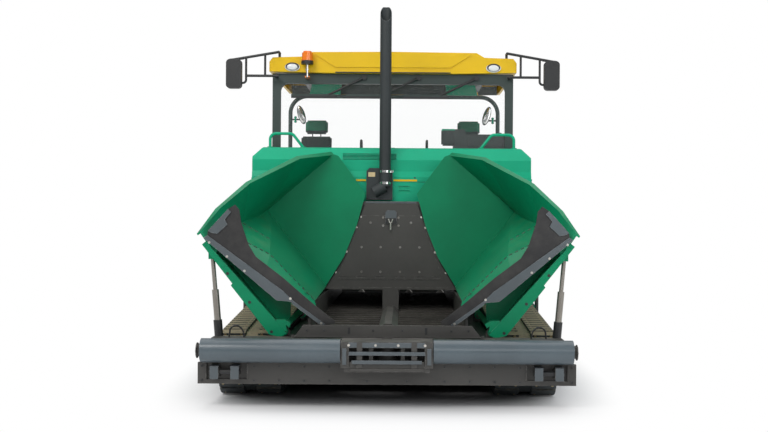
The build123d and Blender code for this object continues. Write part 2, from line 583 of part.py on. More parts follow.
for name, side in SIDES:
    with BuildPart() as wing:
        sections = []
        for distance, *points in WING_ROWS:
            plane = Plane(origin=(0, back(distance), 0), x_dir=(1, 0, 0), z_dir=(0, -1, 0))
            with BuildSketch(plane) as section:
                Polygon(*wing_section(points, side), align=None)
            sections.append(section.sketch.faces()[0])
        loft(sections=sections, ruled=True)
        seam = offset_path(WING_ROWS[-1][1:], WING_SHEET / 2)
        wing_plate([*seam, BULKHEAD_PEAK, *BULKHEAD_EDGE], side,
                   HOPPER_BACK - WING_SHEET, WING_SHEET)
        # front bar from the hinge to the outer corner
        wing_plate([(1548, 1296), (1294, 973), (1306, 957), (985, 554), (892, 531), (841, 562),
                    (872, 600), (1469, 1266), (1500, 1335)],
                   side, HOPPER_FRONT, BAR_THICKNESS)
        # rib that closes the hollow behind the bar
        wing_plate([(WING_PIN_X - 30, WING_PIN_Z + 5), (WING_PIN_X + 30, WING_PIN_Z + 5),
                    (1469, 1250), (1430, 1405), (1015, 1190), (835, 1005)],
                   side, RIB_DISTANCE, BAR_THICKNESS)
        # rear rib, whose foot passes between the track and the frame when the wing comes down
        wing_plate([*raised([(-34, -5), (30, 0), (33, 93), (430, 325)]), (1146, 1455), (766, 982)],
                   side, REAR_RIB_DISTANCE, BAR_THICKNESS)
        # tube between the ribs and the knuckles at its ends
        for start in KNUCKLE_FRONTS:
            rod((side * WING_PIN_X, back(start), WING_PIN_Z),
                (side * WING_PIN_X, back(start + KNUCKLE_LENGTH), WING_PIN_Z),
                WING_KNUCKLE_RADIUS)
        wing_plate([(WING_PIN_X - 30, WING_PIN_Z + 5), (WING_PIN_X + 30, WING_PIN_Z + 5),
                    (WING_PIN_X + 60, WING_PIN_Z + 100), (WING_PIN_X - 20, WING_PIN_Z + 100)],
                   side, HOPPER_FRONT + 5, KNUCKLE_FRONTS[0] + KNUCKLE_LENGTH - HOPPER_FRONT - 5)
        wing_plate(raised([(-18, 62), (28, 62), (28, 93), (-18, 93)]),
                   side, HOPPER_FRONT + 5, REAR_RIB_DISTANCE - HOPPER_FRONT)
        for start in KNUCKLE_FRONTS:
            rod((side * WING_PIN_X, back(start - 1), WING_PIN_Z),
                (side * WING_PIN_X, back(start + KNUCKLE_LENGTH + 1), WING_PIN_Z),
                WING_PIN_RADIUS + RUNNING_FIT, mode=Mode.SUBTRACT)
        # ears for the folding cylinder
        for start, rise in ((CYLINDER_DISTANCE - FORK_GAP / 2 - FORK_PLATE, 98),
                            (CYLINDER_DISTANCE + FORK_GAP / 2, 118)):
            wing_plate([(CYLINDER_EYE_X - 32, CYLINDER_EYE_Z - 26),
                        (CYLINDER_EYE_X + 28, CYLINDER_EYE_Z - 26),
                        (CYLINDER_EYE_X + 30, CYLINDER_EYE_Z + rise + 47),
                        (CYLINDER_EYE_X - 45, CYLINDER_EYE_Z + rise)],
                       side, start, FORK_PLATE)
    finish(wing.part, f"hopper_wing_{name}")

    with BuildPart() as flap:
        wing_plate([(1500, 1316), (1500, 1400), (1330, 1592), (1274, 1628), (1238, 1587),
                    (1223, 1484), (1161, 1299), (1099, 1197), (882, 1033), (625, 813),
                    (440, 670), (440, 644), (540, 628)],
                   side, HOPPER_FRONT - FLAP_THICKNESS, FLAP_THICKNESS)
    finish(flap.part, f"front_flap_{name}")

    with BuildPart() as clamp:
        wing_plate([(1532, 1350), (1500, 1374), (872, 918), (789, 838), (522, 645), (545, 625),
                    (789, 806), (800, 828), (923, 837)],
                   side, STRIP_FRONT, STRIP_THICKNESS)
        wing_plate([(1495, 1411), (1330, 1592), (1305, 1566), (1356, 1504), (1334, 1463),
                    (1418, 1385), (1470, 1394)],
                   side, STRIP_FRONT, STRIP_THICKNESS)
    finish(clamp.part, f"flap_clamp_{name}")

# ---------------------------------------------------------------- folding cylinders
BARREL_RADIUS = 36.0
BARREL_START = 52.0
BARREL_LENGTH = 337.0
STAGE_RADIUS = 28.0
STAGE_START = 232.0
STAGE_END = 590.0
PISTON_RADIUS = 18.0
PISTON_START = 405.0
EYE_RADIUS = 30.0
EYE_HALF = FORK_GAP / 2 - 4
for name, side in SIDES:
    foot = (side * CYLINDER_FOOT_X, back(CYLINDER_DISTANCE), CYLINDER_FOOT_Z)
    eye = (side * CYLINDER_EYE_X, back(CYLINDER_DISTANCE), CYLINDER_EYE_Z)
    stroke = (Vector(*eye) - Vector(*foot)).length

    def place(length):
        return between(foot, eye, length / stroke)

    def cross_pin(point, radius, mode=Mode.ADD, spare=0.0):
        rod((point[0], point[1] - EYE_HALF - spare, point[2]),
            (point[0], point[1] + EYE_HALF + spare, point[2]), radius, mode)

    with BuildPart() as barrel:
        rod(foot, place(BARREL_START + 15), EYE_HALF)
        rod(place(BARREL_START), place(BARREL_LENGTH), BARREL_RADIUS)
        cross_pin(foot, EYE_RADIUS)
        rod(place(BARREL_START + 15), place(BARREL_LENGTH + 5), STAGE_RADIUS + RUNNING_FIT,
            mode=Mode.SUBTRACT)
        cross_pin(foot, CYLINDER_PIN_RADIUS + RUNNING_FIT, Mode.SUBTRACT, 5.0)
    finish(barrel.part, f"wing_cylinder_{name}")
    with BuildPart() as stage:
        rod(place(STAGE_START), place(STAGE_END), STAGE_RADIUS)
        rod(place(STAGE_START - 5), place(STAGE_END + 5), PISTON_RADIUS + RUNNING_FIT,
            mode=Mode.SUBTRACT)
    finish(stage.part, f"wing_cylinder_stage_{name}")
    with BuildPart() as piston:
        rod(place(PISTON_START), place(stroke - 15), PISTON_RADIUS)
        cross_pin(eye, EYE_RADIUS - 6)
    finish(piston.part, f"wing_cylinder_rod_{name}")

# ---------------------------------------------------------------- hopper rear wall
COVER_RISE = 6.0
LATCH_RISE = 18.0
COVER_SLOTS = (-482.0, -302.0, -109.0, 90.0, 280.0, 457.0)
with BuildPart() as rear_wall:
    front_plate(
        [(-REAR_WALL_HALF_BOTTOM, TUNNEL_ROOF + SHEET), (REAR_WALL_HALF_BOTTOM,
         TUNNEL_ROOF + SHEET), (REAR_WALL_HALF_TOP, REAR_WALL_TOP),
         (-REAR_WALL_HALF_TOP, REAR_WALL_TOP)],
        back(REAR_WALL_FRONT), REAR_WALL_THICKNESS,
    )
    block((-REAR_WALL_HALF_BOTTOM, REAR_WALL_HALF_BOTTOM),
          (back(REAR_WALL_FRONT), back(HOOD_FRONT)), (TUNNEL_ROOF + SHEET, 860))
    front_plate([(-534, 914), (523, 914), (292, 1552), (-303, 1552)],
                back(REAR_WALL_FRONT - COVER_RISE), COVER_RISE + 1)
    for x in COVER_SLOTS:
        block((x - 45, x + 45), (back(REAR_WALL_FRONT - COVER_RISE - 1),
              back(REAR_WALL_FRONT)), (930, 945), mode=Mode.SUBTRACT)
    front_plate([(-60, 1468), (56, 1468), (56, 1587), (36, 1607), (-40, 1607), (-60, 1587)],
                back(REAR_WALL_FRONT - LATCH_RISE), LATCH_RISE + 1)
    block((-18, 8), (back(REAR_WALL_FRONT - LATCH_RISE), back(REAR_WALL_FRONT)), (1400, 1470))
finish(rear_wall.part, "hopper_rear_wall")

# ---------------------------------------------------------------- engine and hood
ENGINE_FRONT = HOOD_FRONT + HOOD_WALL + 35
with BuildPart() as engine:
    block((-600, 600), (back(ENGINE_FRONT), back(HOOD_BACK - HOOD_WALL - 15)), (DECK_TOP, 2000))
finish(engine.part, "engine_block")

HINGE_PIN_RADIUS = 4.0
HINGE_RADIUS = 8.0
HINGE_RISE = 9.0            # of the hinge pins above the sheet
HINGE_LENGTH = 90.0
HINGE_EAR = 14.0
LID_HINGES = (-520.0, 430.0)            # x where the lid's hinges start
DOOR_HINGES = (1330.0, 1830.0)          # z where the doors' hinges start
LID_HINGE_DISTANCE = LID_BACK - MOVING_GAP / 2
DOOR_HINGE_DISTANCE = DOOR_FRONT + MOVING_GAP / 2
HOOD_PROFILE = (
    (HOOD_FRONT, HOOD_SKIRT),
    (HOOD_FRONT, 1945.0),
    (HOOD_FRONT + 22, 2005.0),
    (HOOD_FRONT + 22, 2120.0),
    (HOOD_FRONT + 90, HOOD_TOP - 12),
    (HOOD_FRONT + 130, HOOD_TOP),
    (HOOD_BACK, HOOD_TOP),
    (HOOD_BACK, HOOD_SKIRT),
)
LOUVRES = 5
LOUVRE_BOTTOM = 2122.0
LOUVRE_PITCH = 14.0
LOUVRE_GAP = 7.0
LOUVRE_SPAN = (-500.0, 48.0)
SHOULDER = 101.0            # leg of the slanted corner along the hood's top edges
SHOULDER_SHEET = 13.0


def shoulder_cut(side, leg, depth):
    """Cut off everything above a slanted top corner, this deep under its face."""
    low = depth * 2 ** 0.5
    front_plate(
        mirrored([(HOOD_HALF + 5, HOOD_TOP - leg - low - 5), (HOOD_HALF + 5, HOOD_TOP + 5),
                  (HOOD_HALF - leg - low - 5, HOOD_TOP + 5)], side),
        back(HOOD_FRONT - 5), HOOD_BACK - HOOD_FRONT + 10, mode=Mode.SUBTRACT)


with BuildPart() as hood:
    outer = [(back(distance), z) for distance, z in HOOD_PROFILE]
    side_plate(outer, -HOOD_HALF, 2 * HOOD_HALF)
    for side in SIGNS:
        shoulder_cut(side, SHOULDER, 0)
    inner_path = offset_path(outer, HOOD_WALL)
    inner_path[0] = (inner_path[0][0], HOOD_SKIRT - 10)
    inner_path[-1] = (inner_path[-1][0], HOOD_SKIRT - 10)
    with BuildPart(mode=Mode.PRIVATE) as hollow:
        side_plate(inner_path, -DECK_HALF, 2 * DECK_HALF)
        for side in SIGNS:
            shoulder_cut(side, SHOULDER, SHOULDER_SHEET)
    add(hollow.part, mode=Mode.SUBTRACT)
    block((-DECK_HALF, DECK_HALF), (back(HOOD_BACK - HOOD_WALL - 1), back(HOOD_BACK + 1)),
          (HOOD_SKIRT - 10, DECK_TOP), mode=Mode.SUBTRACT)
    block((-LID_HALF, LID_HALF), (back(LID_FRONT), back(LID_BACK)),
          (HOOD_TOP - 60, HOOD_TOP + 10), mode=Mode.SUBTRACT)
    for side in SIGNS:
        block((side * (DECK_HALF - 10), side * (HOOD_HALF + 10)),
              (back(DOOR_FRONT), back(DOOR_BACK)), (DOOR_BOTTOM, DOOR_TOP), mode=Mode.SUBTRACT)
    for index in range(LOUVRES):
        height = LOUVRE_BOTTOM + index * LOUVRE_PITCH
        block(LOUVRE_SPAN, (back(HOOD_FRONT - 5), back(HOOD_FRONT + 130)),
              (height, height + LOUVRE_GAP), mode=Mode.SUBTRACT)
    block((73, 184), (back(HOOD_FRONT - 5), back(HOOD_FRONT + 14)), (1781, 1854),
          mode=Mode.SUBTRACT)
    block((72, 185), (back(HOOD_FRONT), back(HOOD_FRONT + 8)), (1812, 1824))
    block((-DECK_HALF, DECK_HALF), (back(HOOD_FRONT - 1), back(HOOD_FRONT + 10)), (1893, 1899),
          mode=Mode.SUBTRACT)
    for start in LID_HINGES:
        for end in (start - HINGE_EAR, start + HINGE_LENGTH):
            block((end, end + HINGE_EAR), (back(LID_HINGE_DISTANCE), back(LID_BACK + 14)),
                  (HOOD_TOP - 12, HOOD_TOP + HINGE_RISE + HINGE_RADIUS))
        rod((start - HINGE_EAR, back(LID_HINGE_DISTANCE), HOOD_TOP + HINGE_RISE),
            (start + HINGE_LENGTH + HINGE_EAR, back(LID_HINGE_DISTANCE), HOOD_TOP + HINGE_RISE),
            HINGE_PIN_RADIUS)
    for side in SIGNS:
        for start in DOOR_HINGES:
            for end in (start - HINGE_EAR, start + HINGE_LENGTH):
                block((side * (HOOD_HALF - 12), side * (HOOD_HALF + HINGE_RISE + HINGE_RADIUS)),
                      (back(DOOR_FRONT - 16), back(DOOR_HINGE_DISTANCE)), (end, end + HINGE_EAR))
            rod((side * (HOOD_HALF + HINGE_RISE), back(DOOR_HINGE_DISTANCE), start - HINGE_EAR),
                (side * (HOOD_HALF + HINGE_RISE), back(DOOR_HINGE_DISTANCE),
                 start + HINGE_LENGTH + HINGE_EAR), HINGE_PIN_RADIUS)
finish(hood.part, "engine_hood")

with BuildPart() as lid:
    block((-LID_HALF + MOVING_GAP, LID_HALF - MOVING_GAP),
          (back(LID_FRONT + MOVING_GAP), back(LID_BACK - MOVING_GAP)),
          (HOOD_TOP - 24, HOOD_TOP))
    for start in LID_HINGES:
        inside = (start + 1, start + HINGE_LENGTH - 1)
        block(inside, (back(LID_BACK - 40), back(LID_HINGE_DISTANCE)),
              (HOOD_TOP - 2, HOOD_TOP + HINGE_RISE))
        rod((inside[0], back(LID_HINGE_DISTANCE), HOOD_TOP + HINGE_RISE),
            (inside[1], back(LID_HINGE_DISTANCE), HOOD_TOP + HINGE_RISE), HINGE_RADIUS)
        rod((start, back(LID_HINGE_DISTANCE), HOOD_TOP + HINGE_RISE),
            (start + HINGE_LENGTH, back(LID_HINGE_DISTANCE), HOOD_TOP + HINGE_RISE),
            HINGE_PIN_RADIUS + RUNNING_FIT, mode=Mode.SUBTRACT)
finish(lid.part, "engine_lid")

for name, side in SIDES:
    with BuildPart() as door:
        block((side * (HOOD_HALF - 24), side * HOOD_HALF),
              (back(DOOR_FRONT + MOVING_GAP), back(DOOR_BACK - MOVING_GAP)),
              (DOOR_BOTTOM + MOVING_GAP, DOOR_TOP - MOVING_GAP))
        pin = (side * (HOOD_HALF + HINGE_RISE), back(DOOR_HINGE_DISTANCE))
        for start in DOOR_HINGES:
            inside = (start + 1, start + HINGE_LENGTH - 1)
            block((side * (HOOD_HALF - 2), pin[0]), (pin[1], back(DOOR_FRONT + 40)), inside)
            rod((*pin, inside[0]), (*pin, inside[1]), HINGE_RADIUS)
            rod((*pin, start), (*pin, start + HINGE_LENGTH), HINGE_PIN_RADIUS + RUNNING_FIT,
                mode=Mode.SUBTRACT)
    finish(door.part, f"service_door_{name}")

# ---------------------------------------------------------------- exhaust
EXHAUST_X = -65.0
EXHAUST_RADIUS = 58.0
EXHAUST_DISTANCE = HOOD_FRONT - EXHAUST_RADIUS - 12
EXHAUST_TOP = 3666.0
EXHAUST_LIP = 3508.0
EXHAUST_BEND = REAR_WALL_TOP + 151
EXHAUST_BOX = (-253.0, 11.0)
EXHAUST_BOX_DEPTH = 52.0
with BuildPart() as exhaust:
    centre = (EXHAUST_X, back(EXHAUST_DISTANCE))
    rod((*centre, EXHAUST_BEND), (*centre, EXHAUST_TOP), EXHAUST_RADIUS)
    side_plate([(back(EXHAUST_DISTANCE - EXHAUST_RADIUS - 5), EXHAUST_LIP - 13),
                (back(EXHAUST_DISTANCE - EXHAUST_RADIUS - 5), EXHAUST_TOP + 20),
                (back(EXHAUST_DISTANCE + EXHAUST_RADIUS + 5), EXHAUST_TOP + 20)],
               EXHAUST_X - 100, 200, mode=Mode.SUBTRACT)
    rod((*centre, EXHAUST_LIP - 400), (*centre, EXHAUST_TOP + 10), EXHAUST_RADIUS - 4,
        mode=Mode.SUBTRACT)
    left, right = EXHAUST_BOX
    foot, head = EXHAUST_BEND - 134, EXHAUST_BEND + 186
    front_plate([(left, foot), (right, foot), (right, head - 30), (right - 30, head),
                 (left + 30, head), (left, head - 30)],
                back(HOOD_FRONT - EXHAUST_BOX_DEPTH), EXHAUST_BOX_DEPTH)
    rod((*centre, EXHAUST_BEND), (EXHAUST_X - 110, centre[1], EXHAUST_BEND - 60), EXHAUST_RADIUS)
finish(exhaust.part, "exhaust_stack")

# ---------------------------------------------------------------- rear body and platform
BODY_WALL = 20.0
LOCKER_INNER = 960.0
with BuildPart() as lockers:
    for side in SIGNS:
        block((side * LOCKER_INNER, side * HOOD_HALF), (back(HOOD_BACK), back(PLATFORM_BACK)),
              (DECK_TOP, PLATFORM_FLOOR - 40))
        block((side * (LOCKER_INNER + BODY_WALL), side * (HOOD_HALF - BODY_WALL)),
              (back(HOOD_BACK + BODY_WALL), back(PLATFORM_BACK - BODY_WALL)),
              (DECK_TOP + BODY_WALL, PLATFORM_FLOOR - 40 - BODY_WALL), mode=Mode.SUBTRACT)
        block((side * DECK_HALF, side * HOOD_HALF), (back(HOOD_BACK), back(PLATFORM_BACK)),
              (HOOD_SKIRT, DECK_TOP + 5))
    block((-LOCKER_INNER - 5, LOCKER_INNER + 5), (back(PLATFORM_BACK - BODY_WALL),
          back(PLATFORM_BACK)), (DECK_TOP, PLATFORM_FLOOR - 40))
finish(lockers.part, "side_lockers")

RAIL_RADIUS = 15.0
GUARD_TOP = 2120.0
GUARD_BACK = 4560.0
STEP_HALF = 260.0
with BuildPart() as platform:
    block((-PLATFORM_HALF, PLATFORM_HALF), (back(HOOD_BACK), back(PLATFORM_BACK)),
          (PLATFORM_FLOOR - 40, PLATFORM_FLOOR))
    for side in SIGNS:
        block((side * (PLATFORM_HALF - 30), side * PLATFORM_HALF),
              (back(HOOD_BACK), back(GUARD_BACK)), (PLATFORM_FLOOR - 1, GUARD_TOP))
        block((side * 420, side * (PLATFORM_HALF - 29)),
              (back(PLATFORM_BACK - 30), back(PLATFORM_BACK)), (PLATFORM_FLOOR - 1, 1900))
        block((side * STEP_HALF, side * (STEP_HALF + 20)),
              (back(PLATFORM_BACK), back(PLATFORM_BACK + 210)), (1000, PLATFORM_FLOOR))
    for height in (1050.0, 1320.0):
        block((-STEP_HALF - 1, STEP_HALF + 1), (back(PLATFORM_BACK), back(PLATFORM_BACK + 200)),
              (height, height + 30))
    for side in SIGNS:
        bent_tube([(side * 410, back(PLATFORM_BACK - 250), PLATFORM_FLOOR - 5),
                   (side * 410, back(PLATFORM_BACK - 250), 2500),
                   (side * 410, back(PLATFORM_BACK - 30), 2500),
                   (side * 410, back(PLATFORM_BACK - 30), PLATFORM_FLOOR - 5)],
                  80, RAIL_RADIUS)
finish(platform.part, "operator_platform")

SEAT_DISTANCE = 4300.0
SEAT_CENTRES = (-942.0, 912.0)
SEAT_WIDTH = 470.0
# how far the back and the headrest stand in from the seat's side, and between what heights
SEAT_STEPS = ((35.0, 2200.0, 2538.0), (95.0, 2537.0, 2800.0))
with BuildPart() as seats:
    for centre in SEAT_CENTRES:
        half = SEAT_WIDTH / 2
        block((centre - 130, centre + 130), (back(SEAT_DISTANCE - 180), back(SEAT_DISTANCE + 80)),
              (PLATFORM_FLOOR, 1990))
        side_plate(
            [
                (back(SEAT_DISTANCE - 330), 1980), (back(SEAT_DISTANCE + 120), 1980),
                (back(SEAT_DISTANCE + 250), 2700), (back(SEAT_DISTANCE + 170), 2714),
                (back(SEAT_DISTANCE + 60), 2120), (back(SEAT_DISTANCE - 330), 2110),
            ],
            centre - half, SEAT_WIDTH,
        )
        for share in (-1, 1):
            for inside, low, high in SEAT_STEPS:
                block((centre + share * (half + 1), centre + share * (half - inside)),
                      (back(SEAT_DISTANCE - 400), back(SEAT_DISTANCE + 400)), (low, high),
                      mode=Mode.SUBTRACT)
            block((centre + share * 60, centre + share * (half + 1)),
                  (back(SEAT_DISTANCE - 400), back(SEAT_DISTANCE + 400)), (2536, 2552),
                  mode=Mode.SUBTRACT)
        block((centre - 40, centre + 40),
              (back(SEAT_DISTANCE - 400), back(SEAT_DISTANCE + 400)), (2536, 2552),
              mode=Mode.SUBTRACT)
        for share in (-1, 1):
            block((centre + share * (half - 2), centre + share * (half + 45)),
                  (back(SEAT_DISTANCE - 250), back(SEAT_DISTANCE + 120)), (2230, 2270))
            block((centre + share * (half - 45), centre + share * half),
                  (back(SEAT_DISTANCE + 80), back(SEAT_DISTANCE + 120)), (2230, 2270))
finish(seats.part, "operator_seats")

CONSOLE_DISTANCE = SEAT_DISTANCE - 600
with BuildPart() as console:
    block((760, 860), (back(CONSOLE_DISTANCE - 20), back(CONSOLE_DISTANCE + 80)),
          (PLATFORM_FLOOR, 2340))
    side_plate(
        [
            (back(CONSOLE_DISTANCE - 130), 2324), (back(CONSOLE_DISTANCE + 170), 2324),
            (back(CONSOLE_DISTANCE + 170), 2370), (back(CONSOLE_DISTANCE - 60), 2485),
            (back(CONSOLE_DISTANCE - 130), 2485),
        ],
        690, 580,
    )
    block((547, 822), (back(CONSOLE_DISTANCE - 120), back(CONSOLE_DISTANCE - 60)), (2356, 2544))
finish(console.part, "control_console")

# ---------------------------------------------------------------- roof and its frame
CROSSBAR_BOTTOM = 2980.0
HOOP_OUTER = PORTAL_OUTER
HOOP_TOP = 3052.0
HOOP_BEND = 210.0
WIPER_X = (-309.0, 281.0, 903.0)
WIPER_PIVOT = 3045.0
WIPER_REACH = (390.0, 190.0)
with BuildPart() as roof_frame:
    portal_inner = PORTAL_OUTER - PORTAL_POST
    block((-PORTAL_OUTER, PORTAL_OUTER),
          (back(PORTAL_DISTANCE), back(PORTAL_DISTANCE + PORTAL_DEPTH)),
          (PLATFORM_FLOOR, ROOF_UNDERSIDE))
    with BuildSketch(Plane(origin=(0, back(PORTAL_DISTANCE - 5), 0), x_dir=(1, 0, 0),
                           z_dir=(0, -1, 0))) as gap:
        with Locations((0, (CROSSBAR_BOTTOM + PLATFORM_FLOOR - 200) / 2)):
            RectangleRounded(2 * portal_inner, CROSSBAR_BOTTOM - PLATFORM_FLOOR + 200, 85)
    extrude(gap.sketch, amount=PORTAL_DEPTH + 10, dir=(0, 1, 0), mode=Mode.SUBTRACT)
    for x in WIPER_X:
        tip = (x - WIPER_REACH[0], WIPER_PIVOT - WIPER_REACH[1])
        rod((x, back(PORTAL_DISTANCE - 18), WIPER_PIVOT), (tip[0], back(PORTAL_DISTANCE - 18),
            tip[1]), 7)
        block((tip[0] - 400, tip[0] + 80), (back(PORTAL_DISTANCE - 24), back(PORTAL_DISTANCE - 8)),
              (tip[1] - 9, tip[1] + 9))
        rod((x, back(PORTAL_DISTANCE - 27), WIPER_PIVOT), (x, back(PORTAL_DISTANCE + 5),
            WIPER_PIVOT), 17)
    hoop_x = HOOP_OUTER - HOOP_RADIUS
    bent_tube(
        [(-hoop_x, back(HOOP_DISTANCE), PLATFORM_FLOOR),
         (-hoop_x, back(HOOP_DISTANCE), HOOP_TOP - HOOP_RADIUS),
         (hoop_x, back(HOOP_DISTANCE), HOOP_TOP - HOOP_RADIUS),
         (hoop_x, back(HOOP_DISTANCE), PLATFORM_FLOOR)],
        HOOP_BEND, HOOP_RADIUS,
    )
finish(roof_frame.part, "roof_frame")

with BuildPart() as windscreen:
    block((-portal_inner, portal_inner),
          (back(PORTAL_DISTANCE + 26), back(PORTAL_DISTANCE + 34)), (2262, CROSSBAR_BOTTOM - 85))
    block((-portal_inner + 90, portal_inner - 90),
          (back(PORTAL_DISTANCE + 26), back(PORTAL_DISTANCE + 34)),
          (CROSSBAR_BOTTOM - 86, CROSSBAR_BOTTOM))
finish(windscreen.part, "windscreen")

ROOF_PROFILE = ((1331, 3101), (1331, 3205), (1295, 3252), (985, 3262), (900, 3312), (0, 3320))
with BuildPart() as roof:
    top = [(x, z) for x, z in ROOF_PROFILE]
    full = [(-x, z) for x, z in top[:-1]] + [(x, z) for x, z in reversed(top)]
    front_plate([*full, (628, ROOF_UNDERSIDE), (-628, ROOF_UNDERSIDE)], back(ROOF_FRONT),
                ROOF_BACK - ROOF_FRONT)
    hollow = [(1300, 3080), (1300, 3195), (1280, 3222), (975, 3232), (890, 3282), (0, 3290)]
    inside = [(-x, z) for x, z in hollow[:-1]] + [(x, z) for x, z in reversed(hollow)]
    front_plate(inside, back(ROOF_FRONT + 180), ROOF_BACK - ROOF_FRONT - 230, mode=Mode.SUBTRACT)
    for x in (-1000.0, 1000.0):
        block((x - 30, x + 30), (back(ROOF_FRONT + 150), back(ROOF_BACK - 40)),
              (ROOF_UNDERSIDE, 3240))
        block((x - 30, x + 30), (back(HOOP_DISTANCE - 30), back(HOOP_DISTANCE + 30)),
              (HOOP_TOP + CURVED_SEAT, ROOF_UNDERSIDE + 5))
    brow = [(620, 3150), (838, 3288), (838, 3308), (0, 3316)]
    front_plate([(-x, z) for x, z in brow[:-1]] + [(x, z) for x, z in reversed(brow)],
                back(ROOF_FRONT - 12), 14)
finish(roof.part, "roof_shell")

LAMP_X = 1082.0
with BuildPart() as lamps:
    for side in SIGNS:
        for half, rise, reach in ((80, 46, 14), (62, 37, 26)):
            with BuildSketch(Plane(origin=(side * LAMP_X, back(ROOF_FRONT - reach), 3148),
                                   x_dir=(1, 0, 0), z_dir=(0, -1, 0))) as lens:
                Ellipse(half, rise)
            extrude(lens.sketch, amount=reach, dir=(0, 1, 0))
finish(lamps.part, "roof_lamps")

BEACON_X = -916.0
with BuildPart() as beacon:
    rod((BEACON_X, back(2935), 3030), (BEACON_X, back(2935), 3180), 12)
    rod((BEACON_X, back(2935), 3170), (BEACON_X, back(2935), 3224), 64)
    rod((BEACON_X, back(2935), 3220), (BEACON_X, back(2935), 3290), 58)
    rod((BEACON_X, back(2935), 3288), (BEACON_X, back(2935), 3307), 44)
    block((BEACON_X - 25, BEACON_X + 25), (back(2925), back(PORTAL_DISTANCE)), (3030, 3042))
finish(beacon.part, "beacon")

MIRROR_DISTANCE = 2950.0
with BuildPart() as mirrors:
    for side in SIGNS:
        y = back(MIRROR_DISTANCE)
        rod((side * 1224, y, 3301), (side * 1743, y, 3211), 14)
        rod((side * 1224, y, 3045), (side * 1569, y, 3045), 14)
        rod((side * 1224, y, 3301), (side * 1224, back(ROOF_FRONT + 40), 3301), 14)
        rod((side * 1224, back(ROOF_FRONT + 30), 3301), (side * 1224, back(ROOF_FRONT + 30), 3255),
            14)
        rod((side * 1256, y - 1, 3045), (side * 1256, back(PORTAL_DISTANCE), 3045), 14)
        rod((side * 1369, y, 3272), (side * 1369, y, 3045), 12)
        bent_tube([(side * 1573, y, 3240), (side * 1573, y, 2967), (side * 1775, y, 2967),
                   (side * 1775, y, 3212), (side * 1600, y, 3230)], 35, 12)
        with BuildSketch(Plane(origin=(side * 1700, y - 40, 3062), x_dir=(1, 0, 0),
                               z_dir=(0, -1, 0))) as head:
            RectangleRounded(166, 312, 42)
        extrude(head.sketch, amount=70, dir=(0, 1, 0))
        # oval mirror on the rear hoop
        with BuildSketch(Plane(origin=(side * 1142, back(HOOP_DISTANCE + 12), 2798),
                               x_dir=(cos(radians(17)), 0, -side * sin(radians(17))),
                               z_dir=(0, -1, 0))) as oval:
            Ellipse(45, 118)
        extrude(oval.sketch, amount=24, dir=(0, -1, 0))
        rod((side * 1142, back(HOOP_DISTANCE), 2740),
            (side * (PORTAL_OUTER - 2 * HOOP_RADIUS - CURVED_SEAT), back(HOOP_DISTANCE), 2740), 10)
finish(mirrors.part, "side_mirrors")

RAIL_DISTANCE = 2620.0
with BuildPart() as handrails:
    for side in SIGNS:
        bent_tube(
            [(side * 1266, back(RAIL_DISTANCE), HOOD_TOP + 10),
             (side * 1266, back(RAIL_DISTANCE), 2400),
             (side * 1035, back(RAIL_DISTANCE), 2400),
             (side * 925, back(RAIL_DISTANCE), HOOD_TOP + 10)],
            60, RAIL_RADIUS,
        )
        for x in (1266, 925):
            rod((side * x, back(RAIL_DISTANCE), HOOD_TOP),
                (side * x, back(RAIL_DISTANCE), HOOD_TOP + 14), 2 * RAIL_RADIUS)
finish(handrails.part, "handrails")

# ---------------------------------------------------------------- augers
AUGER_BLADE = 14.0
AUGER_SECTIONS_PER_TURN = 8
with BuildPart() as auger_frame:
    block((-70, 70), (back(FRAME_BACK), back(AUGER_DISTANCE + 110)), (FRAME_BOTTOM + 20, 620))
    rod((-70, back(AUGER_DISTANCE), AUGER_HEIGHT), (70, back(AUGER_DISTANCE), AUGER_HEIGHT), 110)
    for side in SIGNS:
        block((side * (AUGER_OUTER + 20), side * (AUGER_OUTER + 50)),
              (back(FRAME_BACK - 1), back(AUGER_DISTANCE + 60)), (AUGER_HEIGHT - 60, 940))
        rod((side * (AUGER_OUTER - 40), back(AUGER_DISTANCE), AUGER_HEIGHT),
            (side * (AUGER_OUTER + 50), back(AUGER_DISTANCE), AUGER_HEIGHT), 25)
        rod((side * 60, back(AUGER_DISTANCE), AUGER_HEIGHT),
            (side * (AUGER_INNER + 60), back(AUGER_DISTANCE), AUGER_HEIGHT), 25)
    block((-AUGER_OUTER - 50, AUGER_OUTER + 50), (back(FRAME_BACK), back(FRAME_BACK + 40)),
          (TUNNEL_ROOF + SHEET, 960))
    block((-70, 70), (back(FRAME_BACK), back(FRAME_BACK + 60)), (600, 900))
finish(auger_frame.part, "auger_frame")

